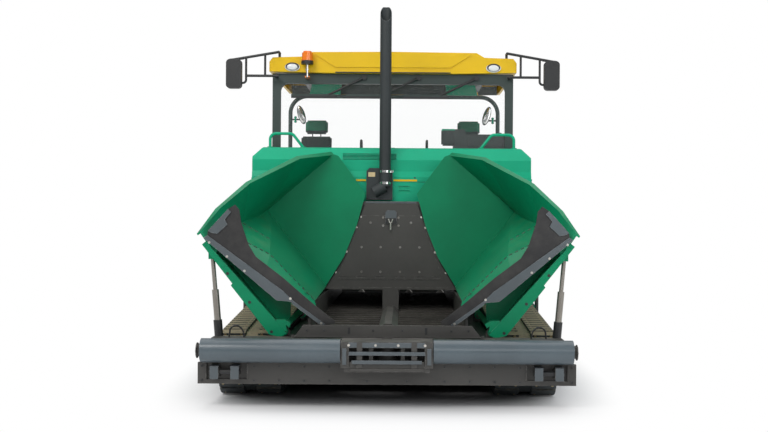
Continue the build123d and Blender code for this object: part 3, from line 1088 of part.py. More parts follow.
for name, side in SIDES:
    with BuildPart() as auger:
        rod((side * AUGER_INNER, back(AUGER_DISTANCE), AUGER_HEIGHT),
            (side * AUGER_OUTER, back(AUGER_DISTANCE), AUGER_HEIGHT), AUGER_SHAFT)
        length = AUGER_OUTER - AUGER_INNER - AUGER_BLADE
        count = int(length / AUGER_PITCH * AUGER_SECTIONS_PER_TURN)
        blades = []
        for index in range(count + 1):
            angle = 360 / AUGER_SECTIONS_PER_TURN * index
            x = side * (AUGER_INNER + AUGER_BLADE / 2 + length * index / count)
            radial = Vector(0, cos(radians(angle)), sin(radians(angle)) * side)
            plane = Plane(origin=(x, back(AUGER_DISTANCE), AUGER_HEIGHT), x_dir=(1, 0, 0),
                          z_dir=Vector(1, 0, 0).cross(radial))
            with BuildSketch(plane) as blade:
                with Locations((0, (AUGER_RADIUS + AUGER_SHAFT - 8) / 2)):
                    Rectangle(AUGER_BLADE, AUGER_RADIUS - AUGER_SHAFT + 8)
            blades.append(blade.sketch.faces()[0])
        loft(sections=blades, ruled=True)
        rod((side * (AUGER_INNER - 5), back(AUGER_DISTANCE), AUGER_HEIGHT),
            (side * (AUGER_OUTER + 5), back(AUGER_DISTANCE), AUGER_HEIGHT), 25 + RUNNING_FIT,
            mode=Mode.SUBTRACT)
    finish(auger.part, f"auger_{name}")

# ---------------------------------------------------------------- tow arms and screed
with BuildPart() as tow_arms:
    for side in SIGNS:
        side_plate(
            [
                (back(TOW_DISTANCE - 60), TOW_HEIGHT - 70), (back(TOW_DISTANCE - 60), TOW_HEIGHT + 70),
                (back(TOW_DISTANCE + 300), TOW_HEIGHT + 110), (back(4750), TOW_HEIGHT + 110),
                (back(SCREED_FRONT + 40), 560), (back(SCREED_FRONT + 330), 520),
                (back(SCREED_FRONT + 330), SCREED_HEIGHT), (back(SCREED_FRONT + 20), SCREED_HEIGHT),
                (back(SCREED_FRONT - 120), 380), (back(4700), TOW_HEIGHT - 110),
                (back(TOW_DISTANCE + 300), TOW_HEIGHT - 110),
            ],
            side * TOW_INNER, side * TOW_WIDTH,
        )
        rod((side * (TOW_INNER - 10), back(TOW_DISTANCE), TOW_HEIGHT),
            (side * (TOW_INNER + TOW_WIDTH + 10), back(TOW_DISTANCE), TOW_HEIGHT),
            TOW_PIN_RADIUS + RUNNING_FIT, mode=Mode.SUBTRACT)
finish(tow_arms.part, "tow_arms")

GUIDE_DISTANCE = SCREED_FRONT + SCREED_DEPTH - 90
SCREED_PROFILE = ((0.0, 170.0), (60.0, 20.0), (120.0, 0.0), (SCREED_DEPTH, 0.0),
                  (SCREED_DEPTH, SCREED_HEIGHT), (0.0, SCREED_HEIGHT))
with BuildPart() as screed:
    side_plate([(back(SCREED_FRONT + d), z) for d, z in SCREED_PROFILE],
               -SCREED_HALF, 2 * SCREED_HALF)
    for side in SIGNS:
        for x in (120.0, 760.0, 1300.0):
            side_plate(
                [(back(GUIDE_DISTANCE - 95), SCREED_HEIGHT - 5),
                 (back(GUIDE_DISTANCE + 85), SCREED_HEIGHT - 5),
                 (back(GUIDE_DISTANCE + 85), GUIDE_HEIGHT + 60),
                 (back(GUIDE_DISTANCE - 95), GUIDE_HEIGHT + 60)],
                side * x, side * 30,
            )
        rod((side * 60, back(GUIDE_DISTANCE), GUIDE_HEIGHT),
            (side * 1330, back(GUIDE_DISTANCE), GUIDE_HEIGHT), GUIDE_RADIUS)
        rod((side * 59, back(GUIDE_DISTANCE), GUIDE_HEIGHT),
            (side * 1331, back(GUIDE_DISTANCE), GUIDE_HEIGHT), GUIDE_RADIUS - 12,
            mode=Mode.SUBTRACT)
        for x in (LIFT_X - LIFT_FORK - LIFT_PLATE, LIFT_X + LIFT_FORK):
            side_plate(
                [(back(LIFT_EYE[0] - 80), SCREED_HEIGHT - 5),
                 (back(LIFT_EYE[0] + 60), SCREED_HEIGHT - 5),
                 (back(LIFT_EYE[0] + 30), LIFT_EYE[1] + 32),
                 (back(LIFT_EYE[0] - 30), LIFT_EYE[1] + 32)],
                side * x, side * LIFT_PLATE,
            )
    block((-TOW_INNER + MOVING_GAP, TOW_INNER - MOVING_GAP),
          (back(SCREED_FRONT + 10), back(LIFT_EYE[0] - 85)),
          (SCREED_HEIGHT - 5, SCREED_HEIGHT + 25))
finish(screed.part, "screed_main")

EXTENSION_FRONT = SCREED_FRONT + SCREED_DEPTH + EXTENSION_GAP
GATE_BOLTS = (SCREED_FRONT + 40, SCREED_FRONT + 440)
GATE_BOLT_HEIGHTS = (70.0, 210.0)
GATE_BOLT_RADIUS = 11.0
for name, side in SIDES:
    with BuildPart() as extension:
        side_plate([(back(EXTENSION_FRONT + d * EXTENSION_DEPTH / SCREED_DEPTH), z)
                    for d, z in SCREED_PROFILE],
                   side * 15, side * (SCREED_HALF - 15))
        block((side * 15, side * SCREED_HALF),
              (back(EXTENSION_FRONT + EXTENSION_DEPTH - 30), back(LENGTH)), (290, 320))
        outer = TOW_BRACKET + GATE_THICKNESS
        side_plate(
            [(back(SCREED_FRONT - 60), 10), (back(SCREED_FRONT - 60), 260),
             (back(SCREED_FRONT + 60), 420), (back(EXTENSION_FRONT + 60), 520),
             (back(LENGTH - 60), 480), (back(LENGTH - 60), 10)],
            side * (outer - GATE_THICKNESS), side * GATE_THICKNESS,
        )
        block((side * (SCREED_HALF - 1), side * outer),
              (back(EXTENSION_FRONT + 30), back(EXTENSION_FRONT + EXTENSION_DEPTH - 30)),
              (60, SCREED_HEIGHT - 20))
        rod((side * 100, back(GUIDE_DISTANCE), GUIDE_HEIGHT),
            (side * (outer - 1), back(GUIDE_DISTANCE), GUIDE_HEIGHT),
            GUIDE_RADIUS - 12 - RUNNING_FIT)
        for distance in GATE_BOLTS:
            for height in GATE_BOLT_HEIGHTS:
                rod((side * (outer - GATE_THICKNESS - 5), back(distance), height),
                    (side * (outer + 5), back(distance), height), GATE_BOLT_RADIUS,
                    mode=Mode.SUBTRACT)
    finish(extension.part, f"screed_extension_{name}")

# ---------------------------------------------------------------- screed lift cylinders
LIFT_BARREL_START = 62.0
LIFT_BARREL_LENGTH = 760.0
LIFT_BARREL_RADIUS = 50.0
LIFT_ROD_RADIUS = 28.0
LIFT_LENGTH = hypot(LIFT_EYE[0] - LIFT_FOOT[0], LIFT_EYE[1] - LIFT_FOOT[1])


def lift_point(x, length):
    """A point on a lift cylinder's axis, this far from its foot."""
    distance, z = between(LIFT_FOOT, LIFT_EYE, length / LIFT_LENGTH)
    return (x, back(distance), z)


with BuildPart() as lift_barrels:
    for side in SIGNS:
        x = side * LIFT_X
        rod(lift_point(x, 0), lift_point(x, LIFT_BARREL_START + 20), LIFT_ROD_RADIUS)
        rod(lift_point(x, LIFT_BARREL_START), lift_point(x, LIFT_BARREL_LENGTH),
            LIFT_BARREL_RADIUS)
        rod(lift_point(x, LIFT_BARREL_START + 20), lift_point(x, LIFT_BARREL_LENGTH + 5),
            LIFT_ROD_RADIUS + RUNNING_FIT, mode=Mode.SUBTRACT)
        rod(lift_point(x - LIFT_FORK + 4, 0), lift_point(x + LIFT_FORK - 4, 0), 34)
        rod(lift_point(x - LIFT_FORK, 0), lift_point(x + LIFT_FORK, 0),
            LIFT_PIN_RADIUS + RUNNING_FIT, mode=Mode.SUBTRACT)
finish(lift_barrels.part, "lift_cylinders")

with BuildPart() as lift_rods:
    for side in SIGNS:
        x = side * LIFT_X
        rod(lift_point(x, 400), lift_point(x, LIFT_LENGTH - 10), LIFT_ROD_RADIUS)
        rod(lift_point(x - LIFT_FORK + 4, LIFT_LENGTH), lift_point(x + LIFT_FORK - 4, LIFT_LENGTH),
            28)
finish(lift_rods.part, "lift_rods")
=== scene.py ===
import json
from math import atan2, cos, pi, radians, sin

import bmesh
import bpy
from mathutils import Matrix, Vector


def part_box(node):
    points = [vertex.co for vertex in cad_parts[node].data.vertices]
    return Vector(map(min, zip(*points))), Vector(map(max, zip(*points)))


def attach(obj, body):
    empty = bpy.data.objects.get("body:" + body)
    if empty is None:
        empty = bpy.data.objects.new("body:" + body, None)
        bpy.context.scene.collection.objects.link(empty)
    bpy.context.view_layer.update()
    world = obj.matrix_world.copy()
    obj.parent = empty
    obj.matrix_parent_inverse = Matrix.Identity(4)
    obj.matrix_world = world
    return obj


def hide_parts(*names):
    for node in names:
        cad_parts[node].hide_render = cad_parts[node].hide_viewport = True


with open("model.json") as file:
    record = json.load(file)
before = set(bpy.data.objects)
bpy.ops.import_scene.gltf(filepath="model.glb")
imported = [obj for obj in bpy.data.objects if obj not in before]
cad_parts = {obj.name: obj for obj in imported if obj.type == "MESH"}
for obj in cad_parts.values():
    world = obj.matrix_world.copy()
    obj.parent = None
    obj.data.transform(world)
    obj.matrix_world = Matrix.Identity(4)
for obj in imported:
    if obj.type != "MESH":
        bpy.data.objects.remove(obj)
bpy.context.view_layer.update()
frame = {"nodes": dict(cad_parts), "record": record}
nodes = frame["nodes"]
scene = bpy.context.scene

# ------------------------------------------------------------------ places taken from the frame
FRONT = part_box("push_roller_left")[0].y
FLOOR = 0.0
SIDES = (("right", -1), ("left", 1))
# degrees between faces past which an edge is rounded, and past which it stays sharp in shading
ROUND_PAST, SHARP_PAST = 40, 35


def back(distance):
    """y of a place this many metres behind the push rollers' front."""
    return FRONT + distance


# ------------------------------------------------------------------ mesh helpers
class Shape:
    """A mesh put together from simple closed forms."""

    def __init__(self):
        self.bm = bmesh.new()

    def box(self, x, y, z, bevel=0.0):
        low = (min(x), min(y), min(z))
        high = (max(x), max(y), max(z))
        made = bmesh.ops.create_cube(self.bm, size=1.0)["verts"]
        middle = Vector([(a + b) / 2 for a, b in zip(low, high)])
        for v in made:
            v.co = Vector([v.co[i] * (high[i] - low[i]) for i in range(3)])
        if bevel:
            edges = list(dict.fromkeys(e for v in made for e in v.link_edges))
            out = bmesh.ops.bevel(self.bm, geom=edges, offset=bevel, segments=2, affect="EDGES")
            kept = {v for v in made if v.is_valid}
            made = list({v for f in out["faces"] for v in f.verts} | kept)
        for v in made:
            v.co = v.co + middle

    def rod(self, start, end, radius, radius_end=None, sides=24):
        start, end = Vector(start), Vector(end)
        line = end - start
        turn = line.to_track_quat("Z", "Y").to_matrix().to_4x4()
        place = Matrix.Translation((start + end) / 2) @ turn
        bmesh.ops.create_cone(self.bm, cap_ends=True, segments=sides, radius1=radius,
                              radius2=radius if radius_end is None else radius_end,
                              depth=line.length, matrix=place)

    def sheet(self, ring, depth):
        """A ring of places, thickened by the vector depth."""
        low = [self.bm.verts.new(place) for place in ring]
        high = [self.bm.verts.new(place + depth) for place in ring]
        self.bm.faces.new(low)
        self.bm.faces.new(list(reversed(high)))
        for i in range(len(ring)):
            j = (i + 1) % len(ring)
            self.bm.faces.new((low[j], low[i], high[i], high[j]))

    def prism(self, points, origin, u, v, depth):
        """An outline in the plane of u and v, thickened by the vector depth."""
        origin, u, v = Vector(origin), Vector(u), Vector(v)
        self.sheet([origin + u * a + v * b for a, b in points], Vector(depth))

    def lens(self, middle, radii, tilt=0.0):
        """A flattened ball, its upper end leaning towards +X by the angle tilt."""
        for v in bmesh.ops.create_uvsphere(self.bm, u_segments=36, v_segments=18,
                                           radius=1.0)["verts"]:
            x, y, z = [share * radius for share, radius in zip(v.co, radii)]
            v.co = (middle[0] + x * cos(tilt) + z * sin(tilt), middle[1] + y,
                    middle[2] - x * sin(tilt) + z * cos(tilt))

    def tube(self, points, radius, sides=14, round_by=0.04, steps=6):
        """A round tube along straight runs with rounded corners."""
        points = [Vector(p) for p in points]
        path = [points[0]]
        for before, here, after in zip(points, points[1:], points[2:]):
            a, b = (before - here), (after - here)
            cut = min(round_by, a.length * 0.45, b.length * 0.45)
            a, b = here + a.normalized() * cut, here + b.normalized() * cut
            for k in range(steps + 1):
                t = k / steps
                path.append(a * (1 - t) ** 2 + here * 2 * t * (1 - t) + b * t ** 2)
        path.append(points[-1])
        tangents = []
        for i in range(len(path)):
            tangents.append((path[min(i + 1, len(path) - 1)] - path[max(i - 1, 0)]).normalized())
        normal = tangents[0].orthogonal().normalized()
        rings = []
        for point, tangent in zip(path, tangents):
            normal = (normal - tangent * normal.dot(tangent)).normalized()
            side = tangent.cross(normal)
            ring = []
            for k in range(sides):
                angle = 2 * pi * k / sides
                ring.append(self.bm.verts.new(
                    point + normal * cos(angle) * radius + side * sin(angle) * radius))
            rings.append(ring)
        for ring, following in zip(rings, rings[1:]):
            for k in range(sides):
                j = (k + 1) % sides
                self.bm.faces.new((ring[k], ring[j], following[j], following[k]))
        self.bm.faces.new(list(reversed(rings[0])))
        self.bm.faces.new(rings[-1])

    def bolt(self, place, direction, size=0.011, height=0.009, washer=True):
        place, direction = Vector(place), Vector(direction).normalized()
        if washer:
            self.rod(place - direction * 0.002, place + direction * 0.0025, size * 1.25, sides=14)
        self.rod(place, place + direction * height, size, size * 0.93, sides=6)

    def made(self, name, body, material, slot, bevel=0.0, replaces=()):
        """Turn the shape into a piece that rides on a body."""
        bmesh.ops.recalc_face_normals(self.bm, faces=self.bm.faces)
        mesh = bpy.data.meshes.new(name)
        self.bm.to_mesh(mesh)
        self.bm.free()
        piece = bpy.data.objects.new(name, mesh)
        scene.collection.objects.link(piece)
        mesh.materials.append(material)
        if bevel:
            round_edges(piece, bevel)
        shade(piece, SHARP_PAST)
        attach(piece, body)
        if replaces:
            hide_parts(*replaces)


def round_edges(piece, width):
    """Round the edges of a piece that are sharp."""
    rounding = piece.modifiers.new("edges", "BEVEL")
    rounding.width = width
    rounding.segments = 2
    rounding.limit_method = "ANGLE"
    rounding.angle_limit = radians(ROUND_PAST)


def shade(piece, angle):
    """Smooth faces with sharp edges past an angle in degrees."""
    mesh = piece.data
    for face in mesh.polygons:
        face.use_smooth = True
    mesh.set_sharp_from_angle(angle=radians(angle))


# ------------------------------------------------------------------ materials
# scales of the noise behind broad and fine shades of a paint, its dust, and its chipped edges with
# their painted highlight
BROAD, FINE, DUSTY, CHIPPED_AND_HIGHLIT = 2.2, 38.0, 6.0, 24.0
WEAR_AND_HIGHLIGHT_RADIUS = 0.006


def new_material(name):
    material = bpy.data.materials.new(name)
    material.use_nodes = True
    tree = material.node_tree
    shader = tree.nodes["Principled BSDF"]
    return material, tree, shader


def math_node(tree, operation, a, b=None, clamp=False):
    node = tree.nodes.new("ShaderNodeMath")
    node.operation = operation
    node.use_clamp = clamp
    for index, value in enumerate((a, b)):
        if value is None:
            continue
        if isinstance(value, (int, float)):
            node.inputs[index].default_value = value
        else:
            tree.links.new(value, node.inputs[index])
    return node.outputs[0]


def mix_colour(tree, factor, a, b):
    node = tree.nodes.new("ShaderNodeMix")
    node.data_type = "RGBA"
    if isinstance(factor, (int, float)):
        node.inputs[0].default_value = factor
    else:
        tree.links.new(factor, node.inputs[0])
    for index, value in ((6, a), (7, b)):
        if isinstance(value, (tuple, list)):
            node.inputs[index].default_value = (*value[:3], 1)
        else:
            tree.links.new(value, node.inputs[index])
    return node.outputs[2]


def place_node(tree, scale=(1, 1, 1)):
    coordinates = tree.nodes.new("ShaderNodeTexCoord")
    mapping = tree.nodes.new("ShaderNodeMapping")
    mapping.inputs["Scale"].default_value = scale
    tree.links.new(coordinates.outputs["Object"], mapping.inputs["Vector"])
    return mapping.outputs["Vector"]


def noise(tree, scale, detail, stretch=(1, 1, 1), roughness=0.55):
    node = tree.nodes.new("ShaderNodeTexNoise")
    node.inputs["Scale"].default_value = scale
    node.inputs["Detail"].default_value = detail
    node.inputs["Roughness"].default_value = roughness
    tree.links.new(place_node(tree, stretch), node.inputs["Vector"])
    return node.outputs["Fac"]


def ramp(tree, value, low, high):
    node = tree.nodes.new("ShaderNodeMapRange")
    node.interpolation_type = "SMOOTHSTEP"
    node.inputs["From Min"].default_value = low
    node.inputs["From Max"].default_value = high
    tree.links.new(value, node.inputs["Value"])
    return node.outputs["Result"]


def bump(tree, shader, height, strength, distance):
    node = tree.nodes.new("ShaderNodeBump")
    node.inputs["Strength"].default_value = strength
    node.inputs["Distance"].default_value = distance
    tree.links.new(height, node.inputs["Height"])
    tree.links.new(node.outputs["Normal"], shader.inputs["Normal"])


def worn_and_highlit_edges(tree):
    """Where edges are sharp: the difference between the rounded and the true normal."""
    rounded = tree.nodes.new("ShaderNodeBevel")
    rounded.samples = 4
    rounded.inputs["Radius"].default_value = WEAR_AND_HIGHLIGHT_RADIUS
    true = tree.nodes.new("ShaderNodeNewGeometry")
    dot = tree.nodes.new("ShaderNodeVectorMath")
    dot.operation = "DOT_PRODUCT"
    tree.links.new(rounded.outputs["Normal"], dot.inputs[0])
    tree.links.new(true.outputs["Normal"], dot.inputs[1])
    away = math_node(tree, "SUBTRACT", 1.0, dot.outputs["Value"])
    return ramp(tree, away, 0.02, 0.18)


def surface(name, colour, rough=0.4, metal=0.0, vary=0.06, dust=0.0, dust_colour=(0.32, 0.3, 0.27),
            edge=None, grain=(0.0, 300.0), coat=0.0, stretch=(1, 1, 1), rough_vary=0.08,
            specular=0.5, dust_low=0.0):
    """Paint, plastic, rubber or metal with broad and fine shades, dust, worn edges that also carry
    a painted highlight, and grain.
    """
    material, tree, shader = new_material(name)
    large = noise(tree, BROAD, 5, roughness=0.6)
    fine = noise(tree, FINE, 5, stretch)
    dark = tuple(c * (1 - vary * 1.6) for c in colour)
    light = tuple(min(1, c * (1 + vary * 1.6)) for c in colour)
    tint = mix_colour(tree, ramp(tree, large, 0.3, 0.7), dark, light)
    tint = mix_colour(tree, math_node(tree, "MULTIPLY", ramp(tree, fine, 0.45, 0.75), vary * 2),
                      tint, tuple(c * 0.6 for c in colour))
    dirt = None
    if dust:
        up = tree.nodes.new("ShaderNodeNewGeometry")
        split = tree.nodes.new("ShaderNodeSeparateXYZ")
        tree.links.new(up.outputs["Normal"], split.inputs[0])
        level = ramp(tree, split.outputs["Z"], 0.2, 1.0)
        patch = ramp(tree, noise(tree, DUSTY, 6, roughness=0.7), 0.35, 0.75)
        dirt = math_node(tree, "MULTIPLY", math_node(tree, "MAXIMUM", level, dust_low), patch)
        dirt = math_node(tree, "MULTIPLY", dirt, dust)
        tint = mix_colour(tree, dirt, tint, dust_colour)
    # sharp edges take a lighter edge colour: partly worn paint, partly a painted highlight along
    # them
    if edge:
        wear_and_highlight = math_node(tree, "MULTIPLY", worn_and_highlit_edges(tree),
                         ramp(tree, noise(tree, CHIPPED_AND_HIGHLIT, 4), 0.4, 0.62))
        tint = mix_colour(tree, math_node(tree, "MULTIPLY", wear_and_highlight, edge[3]), tint, edge[:3])
    tree.links.new(tint, shader.inputs["Base Color"])
    roughness = math_node(tree, "MULTIPLY_ADD", large, rough_vary)
    roughness.node.inputs[2].default_value = rough - rough_vary / 2
    if dirt:
        roughness = math_node(tree, "ADD", roughness, math_node(tree, "MULTIPLY", dirt, 0.35),
                              clamp=True)
    tree.links.new(roughness, shader.inputs["Roughness"])
    shader.inputs["Metallic"].default_value = metal
    shader.inputs["Specular IOR Level"].default_value = specular
    if coat:
        shader.inputs["Coat Weight"].default_value = coat
        shader.inputs["Coat Roughness"].default_value = 0.12
    if grain[0]:
        bump(tree, shader, noise(tree, grain[1], 3, stretch), grain[0], 0.002)
    return material


GREEN = (0.0, 0.40, 0.215)
# the green's lighter green edges are partly wear and partly a painted highlight
green = surface("green_paint", GREEN, rough=0.42, vary=0.03, dust=0.05,
                dust_colour=(0.16, 0.30, 0.22), edge=(0.2, 0.45, 0.34, 0.4), grain=(0.05, 260),
                coat=0.06, specular=0.28)
# the wings' green is darker than the green paint: partly dirt, and partly painted shade for the
# hopper's inner faces, which turn away from the light
wing_green_dirt_and_shade = surface("wing_paint_dirt_and_shade", (0.0, 0.225, 0.100), rough=0.4, vary=0.05, dust=0.16,
                     dust_colour=(0.20, 0.24, 0.12), edge=(0.2, 0.45, 0.34, 0.4),
                     grain=(0.05, 260), coat=0.05, specular=0.22)
dark_grey = surface("dark_grey_paint", (0.052, 0.050, 0.046), rough=0.5, vary=0.08, dust=0.3,
                    edge=(0.3, 0.29, 0.27, 0.6), grain=(0.15, 420))
portal_grey = surface("portal_paint", (0.026, 0.044, 0.040), rough=0.45, vary=0.05, dust=0.15,
                      edge=(0.2, 0.25, 0.24, 0.4), grain=(0.08, 300))
black = surface("black_paint", (0.016, 0.017, 0.018), rough=0.42, vary=0.1, dust=0.15,
                edge=(0.16, 0.16, 0.16, 0.4), grain=(0.08, 300))
roller_paint = surface("roller_paint", (0.082, 0.108, 0.125), rough=0.3, vary=0.06, dust=0.10,
                       edge=(0.3, 0.31, 0.33, 0.5), grain=(0.06, 240), coat=0.1)
exhaust_paint = surface("exhaust_paint", (0.022, 0.029, 0.031), rough=0.6, vary=0.08, dust=0.05,
                        edge=(0.12, 0.12, 0.12, 0.3), grain=(0.12, 500))
yellow = surface("yellow_shell", (0.80, 0.50, 0.002), rough=0.42, vary=0.02, dust=0.08,
                 dust_colour=(0.6, 0.45, 0.2), grain=(0.03, 200), coat=0.08, specular=0.25)
flap_rubber = surface("flap_rubber", (0.016, 0.016, 0.017), rough=0.62, vary=0.15, dust=0.3,
                      dust_low=0.25, grain=(0.3, 520))
track_rubber = surface("track_rubber", (0.050, 0.060, 0.064), rough=0.6, vary=0.12, dust=0.75,
                       dust_colour=(0.36, 0.31, 0.22), dust_low=0.08, grain=(0.3, 420))
clamp_steel = surface("clamp_steel", (0.092, 0.110, 0.120), rough=0.45, metal=0.25, vary=0.06,
                      edge=(0.5, 0.5, 0.52, 0.6), grain=(0.15, 300))
worn_steel = surface("worn_steel", (0.2, 0.19, 0.17), rough=0.42, metal=0.75, vary=0.15, dust=0.4,
                     edge=(0.6, 0.6, 0.6, 0.6), grain=(0.2, 260), stretch=(1, 6, 6))
chrome = surface("chrome_rod", (0.72, 0.72, 0.70), rough=0.16, metal=1.0, vary=0.03,
                 grain=(0.03, 400), rough_vary=0.05)
cylinder_rod = surface("cylinder_rod", (0.30, 0.28, 0.25), rough=0.34, metal=0.8, vary=0.06,
                       dust=0.2, grain=(0.03, 400))
bracket = surface("bracket_paint", (0.080, 0.096, 0.106), rough=0.42, vary=0.06, dust=0.12,
                  edge=(0.4, 0.42, 0.45, 0.6), grain=(0.1, 300))
conveyor_steel = surface("conveyor_steel", (0.046, 0.042, 0.036), rough=0.55, metal=0.3, vary=0.2,
                         dust=0.25, edge=(0.3, 0.28, 0.24, 0.5), grain=(0.3, 260))
cast = surface("cast_engine", (0.09, 0.09, 0.092), rough=0.6, vary=0.2, dust=0.3, grain=(0.5, 180))
bright = surface("zinc_bolts", (0.62, 0.60, 0.55), rough=0.35, metal=0.9, vary=0.1)
brass = surface("brass_bolts", (0.52, 0.42, 0.24), rough=0.4, metal=0.8, vary=0.12)
amber = surface("amber_lens", (0.95, 0.22, 0.01), rough=0.15, vary=0.05, coat=0.5)
fabric = surface("seat_cover", (0.022, 0.026, 0.027), rough=0.85, vary=0.12, dust=0.15,
                 grain=(0.5, 900))
fabric_green = surface("seat_cover_green", (0.0, 0.16, 0.08), rough=0.8, vary=0.1,
                       grain=(0.5, 900))
screen_black = surface("screen_black", (0.012, 0.014, 0.016), rough=0.12, vary=0.05, coat=0.4)


def glass(name, tint, alpha):
    material, tree, shader = new_material(name)
    tree.links.new(mix_colour(tree, noise(tree, 3.0, 3), tint, tuple(c * 0.94 for c in tint)),
                   shader.inputs["Base Color"])
    shader.inputs["Roughness"].default_value = 0.03
    shader.inputs["Alpha"].default_value = alpha
    shader.inputs["Specular IOR Level"].default_value = 0.5
    return material


clear_glass = glass("clear_glass", (0.75, 0.85, 0.85), 0.035)
lamp_glass = surface("lamp_glass", (0.78, 0.8, 0.8), rough=0.1, vary=0.05, coat=0.6)

FINISH = {
    "green_paint": green, "dark_grey_paint": dark_grey, "black_paint": black,
    "roller_paint": roller_paint, "exhaust_paint": exhaust_paint, "yellow_shell": yellow,
    "flap_rubber": flap_rubber, "track_rubber": track_rubber, "clamp_steel": clamp_steel,
    "worn_steel": worn_steel, "chrome_rod": chrome, "cast_engine": cast, "seat_cover": fabric,
    "clear_glass": clear_glass, "lamp_glass": lamp_glass, "amber_lens": amber,
}
for part in frame["record"]["subparts"]:
    node = nodes[part["node"]]
    node.data.materials.clear()
    node.data.materials.append(FINISH[part["material_slot"]])
nodes["roof_frame"].data.materials[0] = portal_grey
nodes["conveyors"].data.materials[0] = conveyor_steel
for name, _ in SIDES:
    nodes["hopper_wing_" + name].data.materials[0] = wing_green_dirt_and_shade
    for part in ("rod", "stage"):
        nodes["wing_cylinder_%s_%s" % (part, name)].data.materials[0] = cylinder_rod

# dust lies on the upper run of the tracks
tree = track_rubber.node_tree
shader = tree.nodes["Principled BSDF"]
spot = tree.nodes.new("ShaderNodeNewGeometry")
facing = tree.nodes.new("ShaderNodeSeparateXYZ")
place = tree.nodes.new("ShaderNodeSeparateXYZ")
tree.links.new(spot.outputs["Normal"], facing.inputs[0])
tree.links.new(spot.outputs["Position"], place.inputs[0])
lying = math_node(tree, "MULTIPLY", ramp(tree, facing.outputs["Z"], 0.55, 0.9),
                  ramp(tree, place.outputs["Z"], 0.42, 0.55))
lying = math_node(tree, "MULTIPLY", lying, ramp(tree, noise(tree, 30.0, 4), 0.15, 0.5))
clean = shader.inputs["Base Color"].links[0].from_socket
tree.links.new(mix_colour(tree, lying, clean, (0.33, 0.27, 0.17)), shader.inputs["Base Color"])
for node in nodes.values():
    round_edges(node, 0.003)


# ------------------------------------------------------------------ fastenings and small trim
def corners(node):
    low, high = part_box(node)
    return Vector(low), Vector(high)


# fronts of the pieces that carry trim
BEAM_FACE = back(0.150)
APRON_FACE = back(0.345)
WALL_FACE = back(2.250)
HOOD_FACE = back(2.380)
CLAMP_FACE = back(0.458)
WING_FACE = back(0.480)

# bolts of the track shoes, read from the pads' own faces
PAD_WIDTHS = (0.19, 0.22)
PAD_BOLTS = (-0.068, 0.068)
TRACK_MIDDLE = (back(2.4), 0.32)
for name, _ in SIDES:
    track = nodes["track_" + name]
    bolts = Shape()
    for face in track.data.polygons:
        if len(face.vertices) < 3 or face.area < 0.001 or abs(face.normal.x) > 0.2:
            continue
        spots = [track.data.vertices[i].co for i in face.vertices]
        wide = max(v.x for v in spots) - min(v.x for v in spots)
        middle = sum(spots, Vector()) / len(spots)
        inside = Vector((middle.x, *TRACK_MIDDLE)) - middle
        if not PAD_WIDTHS[0] < wide < PAD_WIDTHS[1] or face.normal.dot(inside) > 0:
            continue
        if abs(face.normal.z) > 0.6:
            continue
        # a pad that comes as two triangles gets its bolts from the one towards -X
        if len(spots) == 3:
            long_edge = max(((a - b).length, (a + b) / 2) for a in spots for b in spots)
            middle = long_edge[1]
            if spots[0].x + spots[1].x + spots[2].x > 3 * middle.x:
                continue
        for step in PAD_BOLTS:
            bolts.bolt(middle + Vector((step, 0, 0)) - face.normal * 0.001, face.normal, 0.0125,
                       0.0050, washer=False)
    bolts.made("pad_bolts_" + name, "chassis", brass, "worn_steel")

# tow hitches: the pin with its collar, covers over the eyes, and a cheek at each end
HITCH_Y, HITCH_Z = BEAM_FACE - 0.034, 0.296
PIN_ENDS, COLLAR_ENDS = (1.165, 1.412), (1.366, 1.392)
COVERS, COVER_WIDTH, COVER_TOP = (1.170, 1.333), 0.066, 0.352
CHEEKS = (1.109, 1.437)
for name, side in SIDES:
    hitch = Shape()
    for (near, far), radius in ((PIN_ENDS, 0.0205), (COLLAR_ENDS, 0.038)):
        hitch.rod((side * near, HITCH_Y, HITCH_Z), (side * far, HITCH_Y, HITCH_Z), radius,
                  sides=28)
    hitch.bolt((side * COLLAR_ENDS[1], HITCH_Y, HITCH_Z), (side, 0, 0), 0.016, 0.016)
    hitch.made("hitch_bar_" + name, "chassis", black, "black_paint", bevel=0.0015)
    covers = Shape()
    for x in COVERS:
        width = (side * x, side * (x + COVER_WIDTH))
        covers.box(width, (BEAM_FACE - 0.080, BEAM_FACE - 0.0765), (0.243, COVER_TOP))
        covers.box(width, (BEAM_FACE - 0.080, BEAM_FACE + 0.018), (0.344, COVER_TOP))
    covers.made("hitch_covers_" + name, "chassis", bracket, "clamp_steel", bevel=0.0015)
    cheeks = Shape()
    for x in CHEEKS:
        cheeks.box((side * x, side * (x + 0.008)), (BEAM_FACE - 0.012, BEAM_FACE + 0.02),
                   (0.235, 0.355))
    cheeks.made("hitch_cheeks_" + name, "chassis", dark_grey, "dark_grey_paint", bevel=0.001)

BEAM_BOLTS_OUT, BEAM_BOLTS_UP = (0.16, 0.46, 0.66, 0.86, 1.06, 1.475), (0.222, 0.338)
beam_bolts = Shape()
for x in BEAM_BOLTS_OUT:
    for side in (-1, 1):
        for z in BEAM_BOLTS_UP:
            beam_bolts.bolt((side * x, BEAM_FACE, z), (0, -1, 0), 0.009, 0.006)
beam_bolts.made("beam_bolts", "chassis", black, "black_paint")

